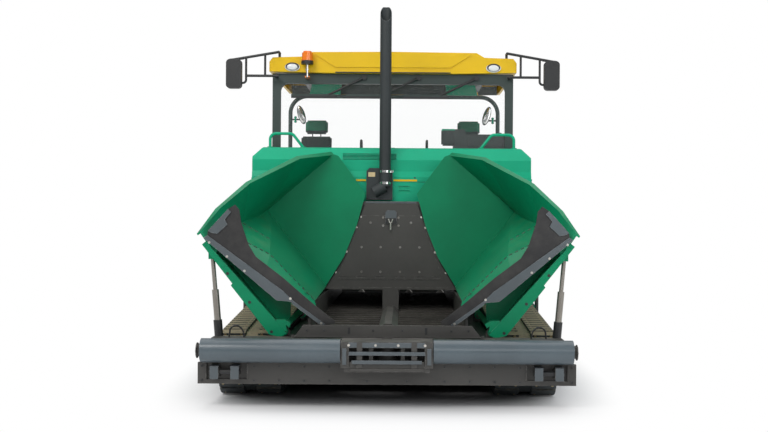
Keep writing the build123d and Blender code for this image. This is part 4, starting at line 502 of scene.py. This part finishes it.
# flange, bars, end plates and bolts of the roller carrier
ROLLER_Y, ROLLER_Z = back(0.095), 0.468
RIB_FRONT, RIB_BACK = back(0.018), back(0.030)
CAP_FACE, CAP_BOLTS_ROUND = 1.507, 0.046
carrier_trim = Shape()
for side in (-1, 1):
    for x, half in ((0.331, 0.033), (0.215, 0.022)):
        carrier_trim.box((side * (x - half), side * (x + half)), (RIB_FRONT, RIB_BACK),
                         (0.345, 0.548))
    for inner, outer, radius, sides in ((1.498, CAP_FACE, 0.062, 36), (1.505, 1.510, 0.034, 28)):
        carrier_trim.rod((side * inner, ROLLER_Y, ROLLER_Z), (side * outer, ROLLER_Y, ROLLER_Z),
                         radius, sides=sides)
carrier_trim.box((-0.29, 0.29), (back(0.016), RIB_BACK), (0.318, 0.340))
bars = Shape()
for half, heights in ((0.300, (0.446, 0.474)), (0.275, (0.378, 0.406))):
    bars.box((-half, half), (back(0.006), RIB_FRONT), heights)
bars.box((-0.362, 0.362), (back(0.0195), back(0.0225)), (0.505, 0.545))
for side in (-1, 1):
    bars.box((side * 0.318, side * 0.350), (back(0.008), RIB_BACK), (0.372, 0.500))
bars.made("carrier_bars", "carrier", bracket, "clamp_steel", bevel=0.0015)
carrier_trim.made("carrier_plates", "carrier", dark_grey, "dark_grey_paint", bevel=0.0015)
carrier_bolts = Shape()
for side in (-1, 1):
    for x in (0.089, 0.300):
        carrier_bolts.bolt((side * x, back(0.0195), 0.524), (0, -1, 0), 0.0085, 0.006)
    for angle in range(0, 360, 60):
        spot = (side * CAP_FACE, ROLLER_Y + CAP_BOLTS_ROUND * cos(radians(angle)),
                ROLLER_Z + CAP_BOLTS_ROUND * sin(radians(angle)))
        carrier_bolts.bolt(spot, (side, 0, 0), 0.006, 0.004, washer=False)
carrier_bolts.made("carrier_bolts", "carrier", bright, "worn_steel")

# apron: bolts, and dark slots beside the carrier
apron_trim = Shape()
for side in (-1, 1):
    apron_trim.box((side * 0.305, side * 0.325), (back(0.344), back(0.3455)), (0.575, 0.63))
    for x in (0.12, 0.52, 0.66):
        apron_trim.bolt((side * x, APRON_FACE, 0.605), (0, -1, 0), 0.008, 0.006)
apron_trim.made("apron_trim", "apron", black, "black_paint")

# wings: bolts of the flap clamps, and holes in the front bars
CLAMP_BOLTS = ((1.483, 1.313), (1.335, 1.198), (1.189, 1.080), (0.808, 0.853), (0.552, 0.650))
WING_HOLES = ((1.334, 1.056), (1.149, 0.819), (0.965, 0.575))
for name, side in SIDES:
    body = "wing_" + name
    bolts = Shape()
    for x, z in CLAMP_BOLTS:
        bolts.bolt((side * x, CLAMP_FACE, z), (0, -1, 0), 0.0085, 0.006)
    bolts.made("clamp_bolts_" + name, body, bright, "clamp_steel")
    holes = Shape()
    for x, z in WING_HOLES:
        holes.rod((side * x, WING_FACE - 0.0012, z), (side * x, WING_FACE + 0.002, z), 0.013,
                  sides=24)
    holes.made("bar_holes_" + name, body, black, "black_paint")

# rear wall: bolts of its cover and of the latch, slits and bolts along its slanted edges
COVER_BOLTS = [(x, 1.482) for x in (-0.206, 0.199)]
COVER_BOLTS += [(x, z) for z in (1.236, 0.989) for x in (-0.294, -0.103, 0.092, 0.286)]
LATCH_BOLTS = [(x, z) for x in (-0.080, 0.074) for z in (1.453, 1.533)]
wall_bolts = Shape()
for places, height in ((COVER_BOLTS, 0.006), (LATCH_BOLTS, 0.008)):
    for x, z in places:
        wall_bolts.bolt((x, WALL_FACE - 0.006, z), (0, -1, 0), 0.009, height)
wall_bolts.made("wall_bolts", "chassis", worn_steel, "worn_steel")
slits = Shape()
slit_bolts = Shape()
SEAL = ((0.272, 1.660), (0.314, 1.545), (0.500, 1.078), (0.680, 0.790))
EDGE_BOLTS = ((0.300, 1.538), (0.343, 1.433), (0.442, 1.188), (0.553, 0.982))
for side in (-1, 1):
    slits.tube([(side * x, WALL_FACE - 0.002, z) for x, z in SEAL], 0.007, 10)
    for x, z in EDGE_BOLTS:
        slit_bolts.bolt((side * x, WALL_FACE, z), (0, -1, 0), 0.0095, 0.007)
slits.made("wall_slits", "chassis", black, "black_paint")
slit_bolts.made("wall_edge_bolts", "chassis", bright, "worn_steel")

# rear wall: strip along its top, then the lever, face and dark foot of the latch
strip = Shape()
wall_top = corners("hopper_rear_wall")[1].z
strip.box((-0.252, 0.252), (WALL_FACE - 0.0025, WALL_FACE + 0.001),
          (wall_top - 0.019, wall_top - 0.002))
strip.made("wall_top_strip", "chassis", bracket, "clamp_steel", bevel=0.0008)
LEVER_X, LEVER_Y, FORK_Y = -0.005, WALL_FACE - 0.017, WALL_FACE - 0.0225
lever = Shape()
lever.rod((LEVER_X, LEVER_Y, 1.410), (LEVER_X, LEVER_Y, 1.485), 0.008, sides=18)
for x in (-0.026, 0.016):
    lever.rod((x, FORK_Y, 1.520), (LEVER_X + (x - LEVER_X) * 0.4, FORK_Y, 1.478), 0.006, sides=14)
lever.made("latch_lever", "chassis", bright, "worn_steel", bevel=0.001)
latch = Shape()
latch.prism([(-0.058, 1.470), (0.054, 1.470), (0.054, 1.586), (0.035, 1.605), (-0.039, 1.605),
             (-0.058, 1.586)], (0, WALL_FACE - 0.0195, 0), (1, 0, 0), (0, 0, 1), (0, 0.003, 0))
latch.made("latch_face", "chassis", bracket, "clamp_steel", bevel=0.0008)
latch_base = Shape()
latch_base.box((-0.056, 0.052), (WALL_FACE - 0.0215, WALL_FACE - 0.0190), (1.470, 1.528))
latch_base.made("latch_base", "chassis", black, "black_paint", bevel=0.0008)

# hood: yellow stripes, seams, latches and vents of the doors, catch of the lid
stripe = Shape()
for x in ((-0.359, -0.259), (0.018, 0.258)):
    stripe.box(x, (HOOD_FACE - 0.0008, HOOD_FACE + 0.001), (1.903, 1.921))
stripe.made("hood_stripes", "chassis", yellow, "yellow_shell")
joint = Shape()
for side in (-1, 1):
    joint.box((side * 1.332, side * 1.3345), (HOOD_FACE - 0.0006, HOOD_FACE + 0.001), (0.92, 1.94))
joint.box((0.227, 0.246), (HOOD_FACE - 0.0007, HOOD_FACE + 0.001), (1.934, 1.945))
joint.made("hood_seams", "chassis", black, "black_paint")
DOOR_FACE, VENT_FOOT, VENT_STEP = 1.420, 1.78, 0.024
for name, side in SIDES:
    handle = Shape()
    face = side * DOOR_FACE
    handle.box((face, face + side * 0.010), (back(2.905), back(2.935)), (1.60, 1.70), bevel=0.003)
    handle.rod((face + side * 0.008, back(2.920), 1.63), (face + side * 0.016, back(2.920), 1.63),
               0.010, sides=18)
    handle.made("door_latch_" + name, "service_door_" + name, black, "black_paint")
    vents = Shape()
    for k in range(9):
        z = VENT_FOOT + k * VENT_STEP
        vents.box((face - side * 0.001, face + side * 0.004), (back(2.56), back(2.84)),
                  (z, z + 0.010))
    vents.made("door_vents_" + name, "service_door_" + name, black, "black_paint")
catch = Shape()
catch.box((-0.03, 0.03), (back(2.552), back(2.590)), (2.249, 2.256), bevel=0.002)
catch.made("lid_catch", "lid", black, "black_paint")

# exhaust: two clamps round the pipe, and the blank plate on its box
PIPE_X, PIPE_Y, CLAMP_RADIUS = -0.065, back(2.310), 0.0605
clamps = Shape()
for low, high in ((1.985, 2.008), (1.868, 1.892)):
    clamps.rod((PIPE_X, PIPE_Y, low), (PIPE_X, PIPE_Y, high), CLAMP_RADIUS, sides=36)
clamps.box((PIPE_X + 0.055, PIPE_X + 0.085), (PIPE_Y - 0.012, PIPE_Y + 0.012), (1.986, 2.007))
clamps.made("exhaust_clamps", "chassis", chrome, "chrome_rod", bevel=0.001)
plate = Shape()
plate.box((-0.235, -0.165), (HOOD_FACE - 0.0545, HOOD_FACE - 0.051), (1.945, 1.990))
plate.made("box_plate", "chassis", brass, "worn_steel", bevel=0.0008)

# roof: dark lower edge, dark lining inside the shell, lenses of the lamps
edge = Shape()
edge.box((-0.62, 0.62), (back(2.9935), back(3.0)), (3.089, 3.101))
edge.made("roof_edge", "chassis", black, "black_paint", bevel=0.001)
ceiling = Shape()
roof_low, roof_high = corners("roof_shell")
lining_back = (roof_high.y - 0.056, roof_high.y - 0.049)
for side in (-1, 1):
    ceiling.box((side * 0.02, side * 0.87), (back(3.30), back(4.50)), (3.270, 3.2835))
    ceiling.box((side * 0.966, side * 1.034), (roof_low.y + 0.185, roof_high.y - 0.052),
                (3.084, 3.200))
    ceiling.box((side * 1.04, side * 1.292), lining_back, (3.092, 3.200))
ceiling.box((-0.96, 0.96), lining_back, (3.092, 3.225))
ceiling.made("ceiling_panels", "chassis", black, "black_paint", bevel=0.002)
LAMP_X = 1.082
for name, side in SIDES:
    lens = Shape()
    lens.lens((side * LAMP_X, back(2.974), 3.148), (0.056, 0.009, 0.032))
    lens.made("lamp_lens_" + name, "chassis", lamp_glass, "lamp_glass")

# beacon's black foot and chrome stem with its collar
BEACON_X, BEACON_Y = -0.916, back(2.935)
foot = Shape()
foot.rod((BEACON_X, BEACON_Y, 3.168), (BEACON_X, BEACON_Y, 3.206), 0.0655, sides=36)
foot.made("beacon_foot", "chassis", black, "black_paint", bevel=0.002)
stem = Shape()
for low, high, radius in ((3.03, 3.172, 0.0135), (3.105, 3.122, 0.021)):
    stem.rod((BEACON_X, BEACON_Y, low), (BEACON_X, BEACON_Y, high), radius, sides=24)
stem.made("beacon_stem", "chassis", chrome, "chrome_rod", bevel=0.001)

# upper corners: mirror glasses, which face the operator, oval mirrors and their brackets on the
# rear hoop, dark rims behind the lamps' lenses, and the arms that carry the roof
MIRROR_OUT, MIRROR_UP = (1.628, 1.772), (2.920, 3.204)
HOOP_X, HOOP_Y = 1.215, back(4.600)
OVAL_TILT = 17
ROOF_ARM = ((0.560, 3.290), (0.880, 3.290), (0.960, 2.940), (0.610, 2.940))
for name, side in SIDES:
    pane = Shape()
    pane.box([side * x for x in MIRROR_OUT], (back(2.980), back(2.9845)), MIRROR_UP, bevel=0.0015)
    pane.made("mirror_glass_" + name, "chassis", chrome, "chrome_rod")
    oval = Shape()
    oval.lens((side * 1.142, back(4.587), 2.798), (0.038, 0.007, 0.108),
              tilt=side * radians(OVAL_TILT))
    oval.made("oval_glass_" + name, "chassis", chrome, "chrome_rod")
    hold = Shape()
    for z in (2.715, 2.740, 2.765):
        hold.rod((side * HOOP_X, HOOP_Y, z - 0.008), (side * HOOP_X, HOOP_Y, z + 0.008), 0.017,
                 sides=16)
    hold.rod((side * HOOP_X, HOOP_Y, 2.70), (side * HOOP_X, HOOP_Y, 2.78), 0.011, sides=16)
    hold.made("oval_bracket_" + name, "chassis", green, "green_paint", bevel=0.001)
    rim = Shape()
    rim.lens((side * LAMP_X, back(2.978), 3.152), (0.072, 0.008, 0.044))
    rim.made("lamp_rim_" + name, "chassis", black, "black_paint")
    arm = Shape()
    arm.prism([(side * x, z) for x, z in ROOF_ARM], (0, back(3.70), 0), (1, 0, 0), (0, 0, 1),
              (0, 0.02, 0))
    arm.made("roof_arm_" + name, "chassis", green, "green_paint", bevel=0.001)

# wings: underside skins between the front bar and the rib, weld seams and floor bolts.
# A corner says how far out it is, how far behind the front, and how high
SKIN = ((0.880, 0.499, 0.606), (1.469, 0.499, 1.262), (1.466, 0.762, 1.247),
        (0.903, 0.762, 0.585))
RIB_INNER, RIB_FOLD, RIB_FOOT = (0.632, 0.760, 0.812), (1.019, 0.760, 1.207), (1.426, 0.760, 1.416)
REAR_FOLD, REAR_FOOT = (1.085, 1.300, 1.325), (1.351, 1.300, 1.476)
SEAMS = ((RIB_FOLD, RIB_INNER), (RIB_FOLD, RIB_FOOT), (REAR_FOLD, REAR_FOOT))
# shares of the way from the inner edge to the fold, and distances behind the front
FLOOR_BOLTS = ((0.09, 0.80), (0.18, 0.73), (0.18, 0.87), (0.27, 0.80))


def on_side(side, corner):
    """A corner as a place on one side of the machine."""
    out, distance, height = corner
    return Vector((side * out, back(distance), height))


for name, side in SIDES:
    body = "wing_" + name
    skin = Shape()
    skin.sheet([on_side(side, corner) for corner in SKIN], Vector((-side * 0.003, 0, 0.003)))
    skin.made("wing_skin_" + name, body, wing_green_dirt_and_shade, "green_paint")
    seams = Shape()
    for start, end in SEAMS:
        a, b = on_side(side, start), on_side(side, end)
        count = max(3, int((b - a).length / 0.055))
        for k in range(count):
            seams.rod(a.lerp(b, (k + 0.2) / count), a.lerp(b, (k + 0.75) / count), 0.0045, sides=8)
    seams.made("wing_seams_" + name, body, black, "black_paint")
    dots = Shape()
    inner, fold = on_side(side, RIB_INNER), on_side(side, RIB_FOLD)
    up = Vector((-side * (fold.z - inner.z), 0, abs(fold.x - inner.x))).normalized()
    for share, distance in FLOOR_BOLTS:
        point = inner.lerp(fold, share)
        dots.bolt((point.x, back(distance), point.z), up, 0.0095, 0.004, washer=False)
    dots.made("wing_floor_bolts_" + name, body, black, "black_paint")

# rigid line that loops at the foot of each folding cylinder
LINE_Y = back(0.410)
LINE = ((1.305, 0.536), (1.295, 0.615), (1.240, 0.640), (1.190, 0.600), (1.180, 0.536))
for name, side in SIDES:
    line = Shape()
    line.tube([(side * x, LINE_Y, z) for x, z in LINE], 0.007, 12)
    line.made("cylinder_line_" + name, "chassis", black, "black_paint")

# wiper blades, their arms and the hubs that these turn on
WIPER_HUBS, HUB_Z, ARM_Y = (-0.309, 0.281, 0.903), 3.045, back(3.044)
TIP_REACH, TIP_Z = 0.390, 2.855
blades = Shape()
for x in WIPER_HUBS:
    tip = x - TIP_REACH
    blades.box((tip - 0.40, tip + 0.08), (back(3.040), back(3.050)), (TIP_Z - 0.034, TIP_Z))
    blades.rod((x, ARM_Y, HUB_Z), (tip, ARM_Y, TIP_Z), 0.013, sides=12)
    blades.rod((x, back(3.030), HUB_Z), (x, back(3.058), HUB_Z), 0.026, sides=20)
blades.made("wiper_blades", "chassis", black, "black_paint", bevel=0.001)

# sheets that stand on the front of the screed and close the view behind the tunnels
SHEETS, SHEET_BACK, SHEET_FOOT = ((-1.29, -1.09), (-0.91, 0.91), (1.09, 1.29)), back(5.708), 0.318
for index, (x0, x1) in enumerate(SHEETS):
    guard = Shape()
    guard.box((x0, x1), (back(5.700), SHEET_BACK), (SHEET_FOOT, 0.612))
    for x in (x0 + 0.02, x1 - 0.026):
        guard.box((x, x + 0.006), (SHEET_BACK, back(5.760)), (SHEET_FOOT, 0.60))
    guard.made("screed_front_sheet_%d" % index, "screed", dark_grey, "dark_grey_paint",
               bevel=0.001)


# ------------------------------------------------------------------ seats
CLOTH_FRAMES = 20
CHANNEL_WIDTH = 0.007


def blank(size, voxel):
    """A block with rounded edges, as an even mesh to sew a cushion from."""
    form = Shape()
    half = [value / 2 for value in size]
    form.box((-half[0], half[0]), (-half[1], half[1]), (-half[2], half[2]),
             bevel=min(size) * 0.28)
    mesh = bpy.data.meshes.new("blank")
    form.bm.to_mesh(mesh)
    form.bm.free()
    holder = bpy.data.objects.new("blank", mesh)
    scene.collection.objects.link(holder)
    remesh = holder.modifiers.new("even", "REMESH")
    remesh.mode = "VOXEL"
    remesh.voxel_size = voxel
    shaped = bpy.data.meshes.new_from_object(
        holder.evaluated_get(bpy.context.evaluated_depsgraph_get()))
    bpy.data.objects.remove(holder)
    return shaped


def stuffed(size, cap, voxel=0.007):
    """The block blown up like a foam cushion in its cover, with no point moving past the cap."""
    start = tuple(value - cap * 1.2 for value in size)
    mesh = blank(start, voxel)
    rest = [v.co.copy() for v in mesh.vertices]
    holder = bpy.data.objects.new("cover", mesh)
    scene.collection.objects.link(holder)
    cloth = holder.modifiers.new("cloth", "CLOTH")
    cloth.settings.quality = 4
    cloth.settings.mass = 0.3
    cloth.settings.use_pressure = True
    cloth.settings.uniform_pressure_force = 4.0
    cloth.settings.effector_weights.gravity = 0.0
    cloth.collision_settings.use_collision = False
    cloth.point_cache.frame_start = 1
    cloth.point_cache.frame_end = CLOTH_FRAMES
    for frame_number in range(1, CLOTH_FRAMES + 1):
        scene.frame_set(frame_number)
    blown = bpy.data.meshes.new_from_object(
        holder.evaluated_get(bpy.context.evaluated_depsgraph_get()))
    scene.frame_set(1)
    bpy.data.objects.remove(holder)
    for vertex, home in zip(blown.vertices, rest):
        move = vertex.co - home
        if move.length > cap:
            vertex.co = home + move * (cap / move.length)
    return blown


def sewn(mesh, channels, deep, face):
    """Press sewn channels into the cover: where they run, how deep, and the way that they face."""
    axis, way = face
    for vertex in mesh.vertices:
        if vertex.normal[axis] * way < 0.3:
            continue
        for along, place in channels:
            near = (vertex.co[along] - place) / CHANNEL_WIDTH
            vertex.co[axis] -= way * deep * 2.718 ** (-near * near)


SEAT_AT = 4.300
SEAT_CENTRES = (("right", -0.942), ("left", 0.912))
LEAN = atan2(0.11, 0.594)
CUSHION_AT, CUSHION_Z = back(SEAT_AT - 0.108), 2.046
BACKREST_AT, BACKREST_Z = back(SEAT_AT + 0.145), 2.325
HEADREST_AT, HEADREST_Z, GREEN_FROM = back(SEAT_AT + 0.196), 2.636, 2.592
STAND_FOOT, BELLOWS, BELLOWS_FOLD, PAN_FOOT = 1.600, 7, 0.043, 1.941
cushion = stuffed((0.466, 0.440, 0.132), 0.012)
sewn(cushion, ((0, -0.13), (0, 0.13), (1, 0.10)), 0.006, (2, 1))
backrest = stuffed((0.400, 0.092, 0.428), 0.010)
sewn(backrest, ((0, -0.115), (0, 0.115), (2, -0.06)), 0.006, (1, -1))
headrest = stuffed((0.286, 0.086, 0.182), 0.009, 0.006)
sewn(headrest, ((2, 0.010),), 0.004, (1, -1))
for name, x in SEAT_CENTRES:
    for part, mesh, place, turn, fill in (
            ("cushion", cushion, (x, CUSHION_AT, CUSHION_Z), 0.0, 0.8),
            ("backrest", backrest, (x, BACKREST_AT, BACKREST_Z), -LEAN, 0.8),
            ("headrest", headrest, (x, HEADREST_AT, HEADREST_Z), -LEAN, 0.9)):
        cover = bpy.data.objects.new("seat_%s_%s" % (part, name), mesh.copy())
        scene.collection.objects.link(cover)
        cover.data.transform(Matrix.Translation(place) @ Matrix.Rotation(turn, 4, "X"))
        cover.data.materials.append(fabric)
        if part == "headrest":
            cover.data.materials.append(fabric_green)
            for face in cover.data.polygons:
                if face.center.z > GREEN_FROM:
                    face.material_index = 1
        shade(cover, 60)
        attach(cover, "chassis")
        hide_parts("operator_seats")
    stand = Shape()
    stand.box((x - 0.13, x + 0.13), (back(SEAT_AT - 0.18), back(SEAT_AT + 0.08)),
              (STAND_FOOT, 1.640), bevel=0.006)
    for k in range(BELLOWS):
        waist = 0.006 * (k % 2)
        stand.box((x - 0.108 + waist, x + 0.108 - waist),
                  (back(SEAT_AT - 0.158 + waist), back(SEAT_AT + 0.058 - waist)),
                  (1.640 + k * BELLOWS_FOLD, 1.683 + k * BELLOWS_FOLD), bevel=0.004)
    stand.box((x - 0.215, x + 0.215), (back(SEAT_AT - 0.31), back(SEAT_AT + 0.10)),
              (PAN_FOOT, 1.981), bevel=0.006)
    for share in (-1, 1):
        stand.rod((x + share * 0.05, back(SEAT_AT + 0.170), 2.50),
                  (x + share * 0.05, back(SEAT_AT + 0.182), 2.57), 0.007, sides=16)
        arm_x = x + share * 0.256
        stand.box((arm_x - 0.023, arm_x + 0.023), (back(SEAT_AT - 0.25), back(SEAT_AT + 0.12)),
                  (2.230, 2.270), bevel=0.010)
        stand.box((x + share * 0.190, x + share * 0.236),
                  (back(SEAT_AT + 0.085), back(SEAT_AT + 0.118)), (2.234, 2.266), bevel=0.004)
    stand.made("seat_frame_" + name, "chassis", black, "black_paint",
               replaces=("operator_seats",))

# ------------------------------------------------------------------ console
CONSOLE_AT = 3.700
# the panel leans: the way down along it, and the way out of it
fall = Vector((0, 0.230, -0.115)).normalized()
rise = Vector((0, 0.115, 0.230)).normalized()
panel_top = Vector((0.0, back(CONSOLE_AT - 0.06), 2.485))


def on_panel(x, down, height=0.0):
    """A place on the panel, this far down from its top edge and this high above it."""
    return Vector((x, 0, 0)) + panel_top + fall * down + rise * height


DISPLAY = ((0.745, 0.03), (0.945, 0.03), (0.945, 0.20), (0.745, 0.20))
BUTTON_ROWS, BUTTON_COLUMNS, BUTTON_STEP = 4, 6, 0.042
display = Shape()
display.sheet([on_panel(x, down, 0.001) for x, down in DISPLAY], rise * 0.010)
display.made("console_display", "chassis", screen_black, "black_paint", bevel=0.002)
buttons = Shape()
for row in range(BUTTON_ROWS):
    for column in range(BUTTON_COLUMNS):
        middle = on_panel(0.985 + column * BUTTON_STEP, 0.045 + row * BUTTON_STEP)
        buttons.rod(middle - rise * 0.002, middle + rise * 0.007, 0.0115, sides=18)
buttons.made("console_buttons", "chassis", bright, "worn_steel", bevel=0.001)
grip = Shape()
base = on_panel(1.235, 0.12)
grip.rod(base - rise * 0.004, base + rise * 0.014, 0.022, sides=24)
grip.rod(base + rise * 0.010, base + rise * 0.050, 0.006, sides=16)
grip.rod(base + rise * 0.045, base + rise * 0.095, 0.013, 0.016, sides=20)
grip.made("console_lever", "chassis", black, "black_paint", bevel=0.002)
cap = Shape()
cap.box((0.552, 0.700), (back(CONSOLE_AT - 0.1195), back(CONSOLE_AT - 0.0605)), (2.522, 2.5455),
        bevel=0.004)
cap.made("console_cap", "chassis", green, "green_paint")
case = Shape()
case.box((0.760, 0.860), (back(CONSOLE_AT - 0.020), back(CONSOLE_AT + 0.080)), (1.600, 2.335),
         bevel=0.008)
case.prism([(back(CONSOLE_AT - 0.130), 2.324), (back(CONSOLE_AT + 0.170), 2.324),
            (back(CONSOLE_AT + 0.170), 2.370), (back(CONSOLE_AT - 0.060), 2.485),
            (back(CONSOLE_AT - 0.130), 2.485)], (0.690, 0, 0), (0, 1, 0), (0, 0, 1), (0.580, 0, 0))
case.box((0.547, 0.822), (back(CONSOLE_AT - 0.122), back(CONSOLE_AT - 0.058)), (2.356, 2.544),
         bevel=0.016)
case.box((0.835, 1.255), (back(CONSOLE_AT - 0.142), back(CONSOLE_AT - 0.128)), (2.345, 2.465),
         bevel=0.006)
case.made("console_case", "chassis", black, "black_paint", bevel=0.005,
          replaces=("control_console",))

# ------------------------------------------------------------------ camera
camera = bpy.data.objects.new("camera", bpy.data.cameras.new("camera"))
scene.collection.objects.link(camera)
camera.data.sensor_width = 36.0
camera.data.lens = 47.9
camera.data.shift_x = -0.0251
camera.data.shift_y = 0.0052
camera.location = (0.122, FRONT - 8.0, 1.51)
camera.rotation_euler = (pi / 2, radians(-0.39), 0)
camera.data.clip_end = 200
scene.camera = camera

# ------------------------------------------------------------------ stage and light
FLOOR_HALF = 60
# half width and half length of the shadow on the floor, which is partly real and partly painted
# into the floor's colour
SHADOW = (1.75, 3.6)
FLOOR_WHITE, FLOOR_PAINTED_SHADOW = (0.92, 0.92, 0.93), (0.16, 0.16, 0.17)
floor_corners = [(x * FLOOR_HALF, y * FLOOR_HALF, FLOOR)
                 for x, y in ((-1, -1), (1, -1), (1, 1), (-1, 1))]
floor_mesh = bpy.data.meshes.new("floor")
floor_mesh.from_pydata(floor_corners, [], [(0, 1, 2, 3)])
floor = bpy.data.objects.new("floor", floor_mesh)
scene.collection.objects.link(floor)
floor_material, tree, shader = new_material("floor")
shader.inputs["Roughness"].default_value = 0.9
shader.inputs["Specular IOR Level"].default_value = 0.1
# the floor away from the machine shows as plain white, and keeps the shadow close to it, where its
# colour is also darkened towards the machine as a painted shadow
spot = tree.nodes.new("ShaderNodeNewGeometry")
spot_axes = tree.nodes.new("ShaderNodeSeparateXYZ")
tree.links.new(spot.outputs["Position"], spot_axes.inputs[0])
across = math_node(tree, "DIVIDE", math_node(tree, "ABSOLUTE", spot_axes.outputs["X"]),
                   SHADOW[0])
along = math_node(tree, "DIVIDE", math_node(tree, "ABSOLUTE", spot_axes.outputs["Y"]),
                  SHADOW[1])
away = math_node(tree, "SQRT", math_node(
    tree, "ADD", math_node(tree, "POWER", across, 4.0), math_node(tree, "POWER", along, 4.0)))
fade = ramp(tree, away, 0.72, 1.45)
# the floor's own colour darkens from white towards the machine: a painted shadow under it
tree.links.new(mix_colour(tree, ramp(tree, away, 0.35, 1.0), FLOOR_PAINTED_SHADOW, FLOOR_WHITE),
               shader.inputs["Base Color"])
floor_rays = tree.nodes.new("ShaderNodeLightPath")
seen_ray = math_node(tree, "MAXIMUM", floor_rays.outputs["Is Camera Ray"],
                     floor_rays.outputs["Is Transmission Ray"])
seen_ray = math_node(tree, "MAXIMUM", seen_ray, floor_rays.outputs["Is Glossy Ray"])
white = tree.nodes.new("ShaderNodeEmission")
white.inputs["Color"].default_value = (1, 1, 1, 1)
floor_mix = tree.nodes.new("ShaderNodeMixShader")
tree.links.new(math_node(tree, "MULTIPLY", seen_ray, fade), floor_mix.inputs[0])
tree.links.new(shader.outputs[0], floor_mix.inputs[1])
tree.links.new(white.outputs[0], floor_mix.inputs[2])
tree.links.new(floor_mix.outputs[0], tree.nodes["Material Output"].inputs["Surface"])
floor_mesh.materials.append(floor_material)

world = bpy.data.worlds.new("studio")
scene.world = world
world.use_nodes = True
tree = world.node_tree
sky = tree.nodes["Background"]
output = tree.nodes["World Output"]
coordinates = tree.nodes.new("ShaderNodeTexCoord")
split = tree.nodes.new("ShaderNodeSeparateXYZ")
tree.links.new(coordinates.outputs["Generated"], split.inputs[0])
height = ramp(tree, split.outputs["Z"], -0.2, 0.75)
tree.links.new(mix_colour(tree, height, (0.42, 0.43, 0.45), (0.88, 0.9, 0.93)),
               sky.inputs["Color"])
sky.inputs["Strength"].default_value = 0.48
seen = tree.nodes.new("ShaderNodeBackground")
seen.inputs["Color"].default_value = (1, 1, 1, 1)
seen.inputs["Strength"].default_value = 1.0
rays = tree.nodes.new("ShaderNodeLightPath")
through = math_node(tree, "MAXIMUM", rays.outputs["Is Camera Ray"],
                    rays.outputs["Is Transmission Ray"])
blend = tree.nodes.new("ShaderNodeMixShader")
tree.links.new(through, blend.inputs[0])
tree.links.new(sky.outputs[0], blend.inputs[1])
tree.links.new(seen.outputs[0], blend.inputs[2])
tree.links.new(blend.outputs[0], output.inputs["Surface"])
scene.view_settings.view_transform = "Standard"


def area(name, place, aim, size, power, colour=(1, 1, 1)):
    """A lamp with a flat face, turned to a place."""
    lamp = bpy.data.lights.new(name, "AREA")
    lamp.shape = "RECTANGLE"
    lamp.size, lamp.size_y = size
    lamp.energy = power
    lamp.color = colour
    item = bpy.data.objects.new(name, lamp)
    scene.collection.objects.link(item)
    item.location = place
    item.rotation_euler = (Vector(aim) - Vector(place)).to_track_quat("-Z", "Y").to_euler()


area("key", (-5.5, -10.0, 8.5), (0, -1.5, 1.2), (5, 4), 560, (1.0, 0.98, 0.95))
area("top", (0, 0, 9.0), (0, 0, 0), (9, 9), 330)
area("fill", (7.0, -9.0, 4.5), (0, -1.5, 1.5), (5, 5), 210, (0.95, 0.98, 1.0))
area("front", (0.5, -13.0, 5.5), (0, -1.0, 1.9), (6, 3), 130)
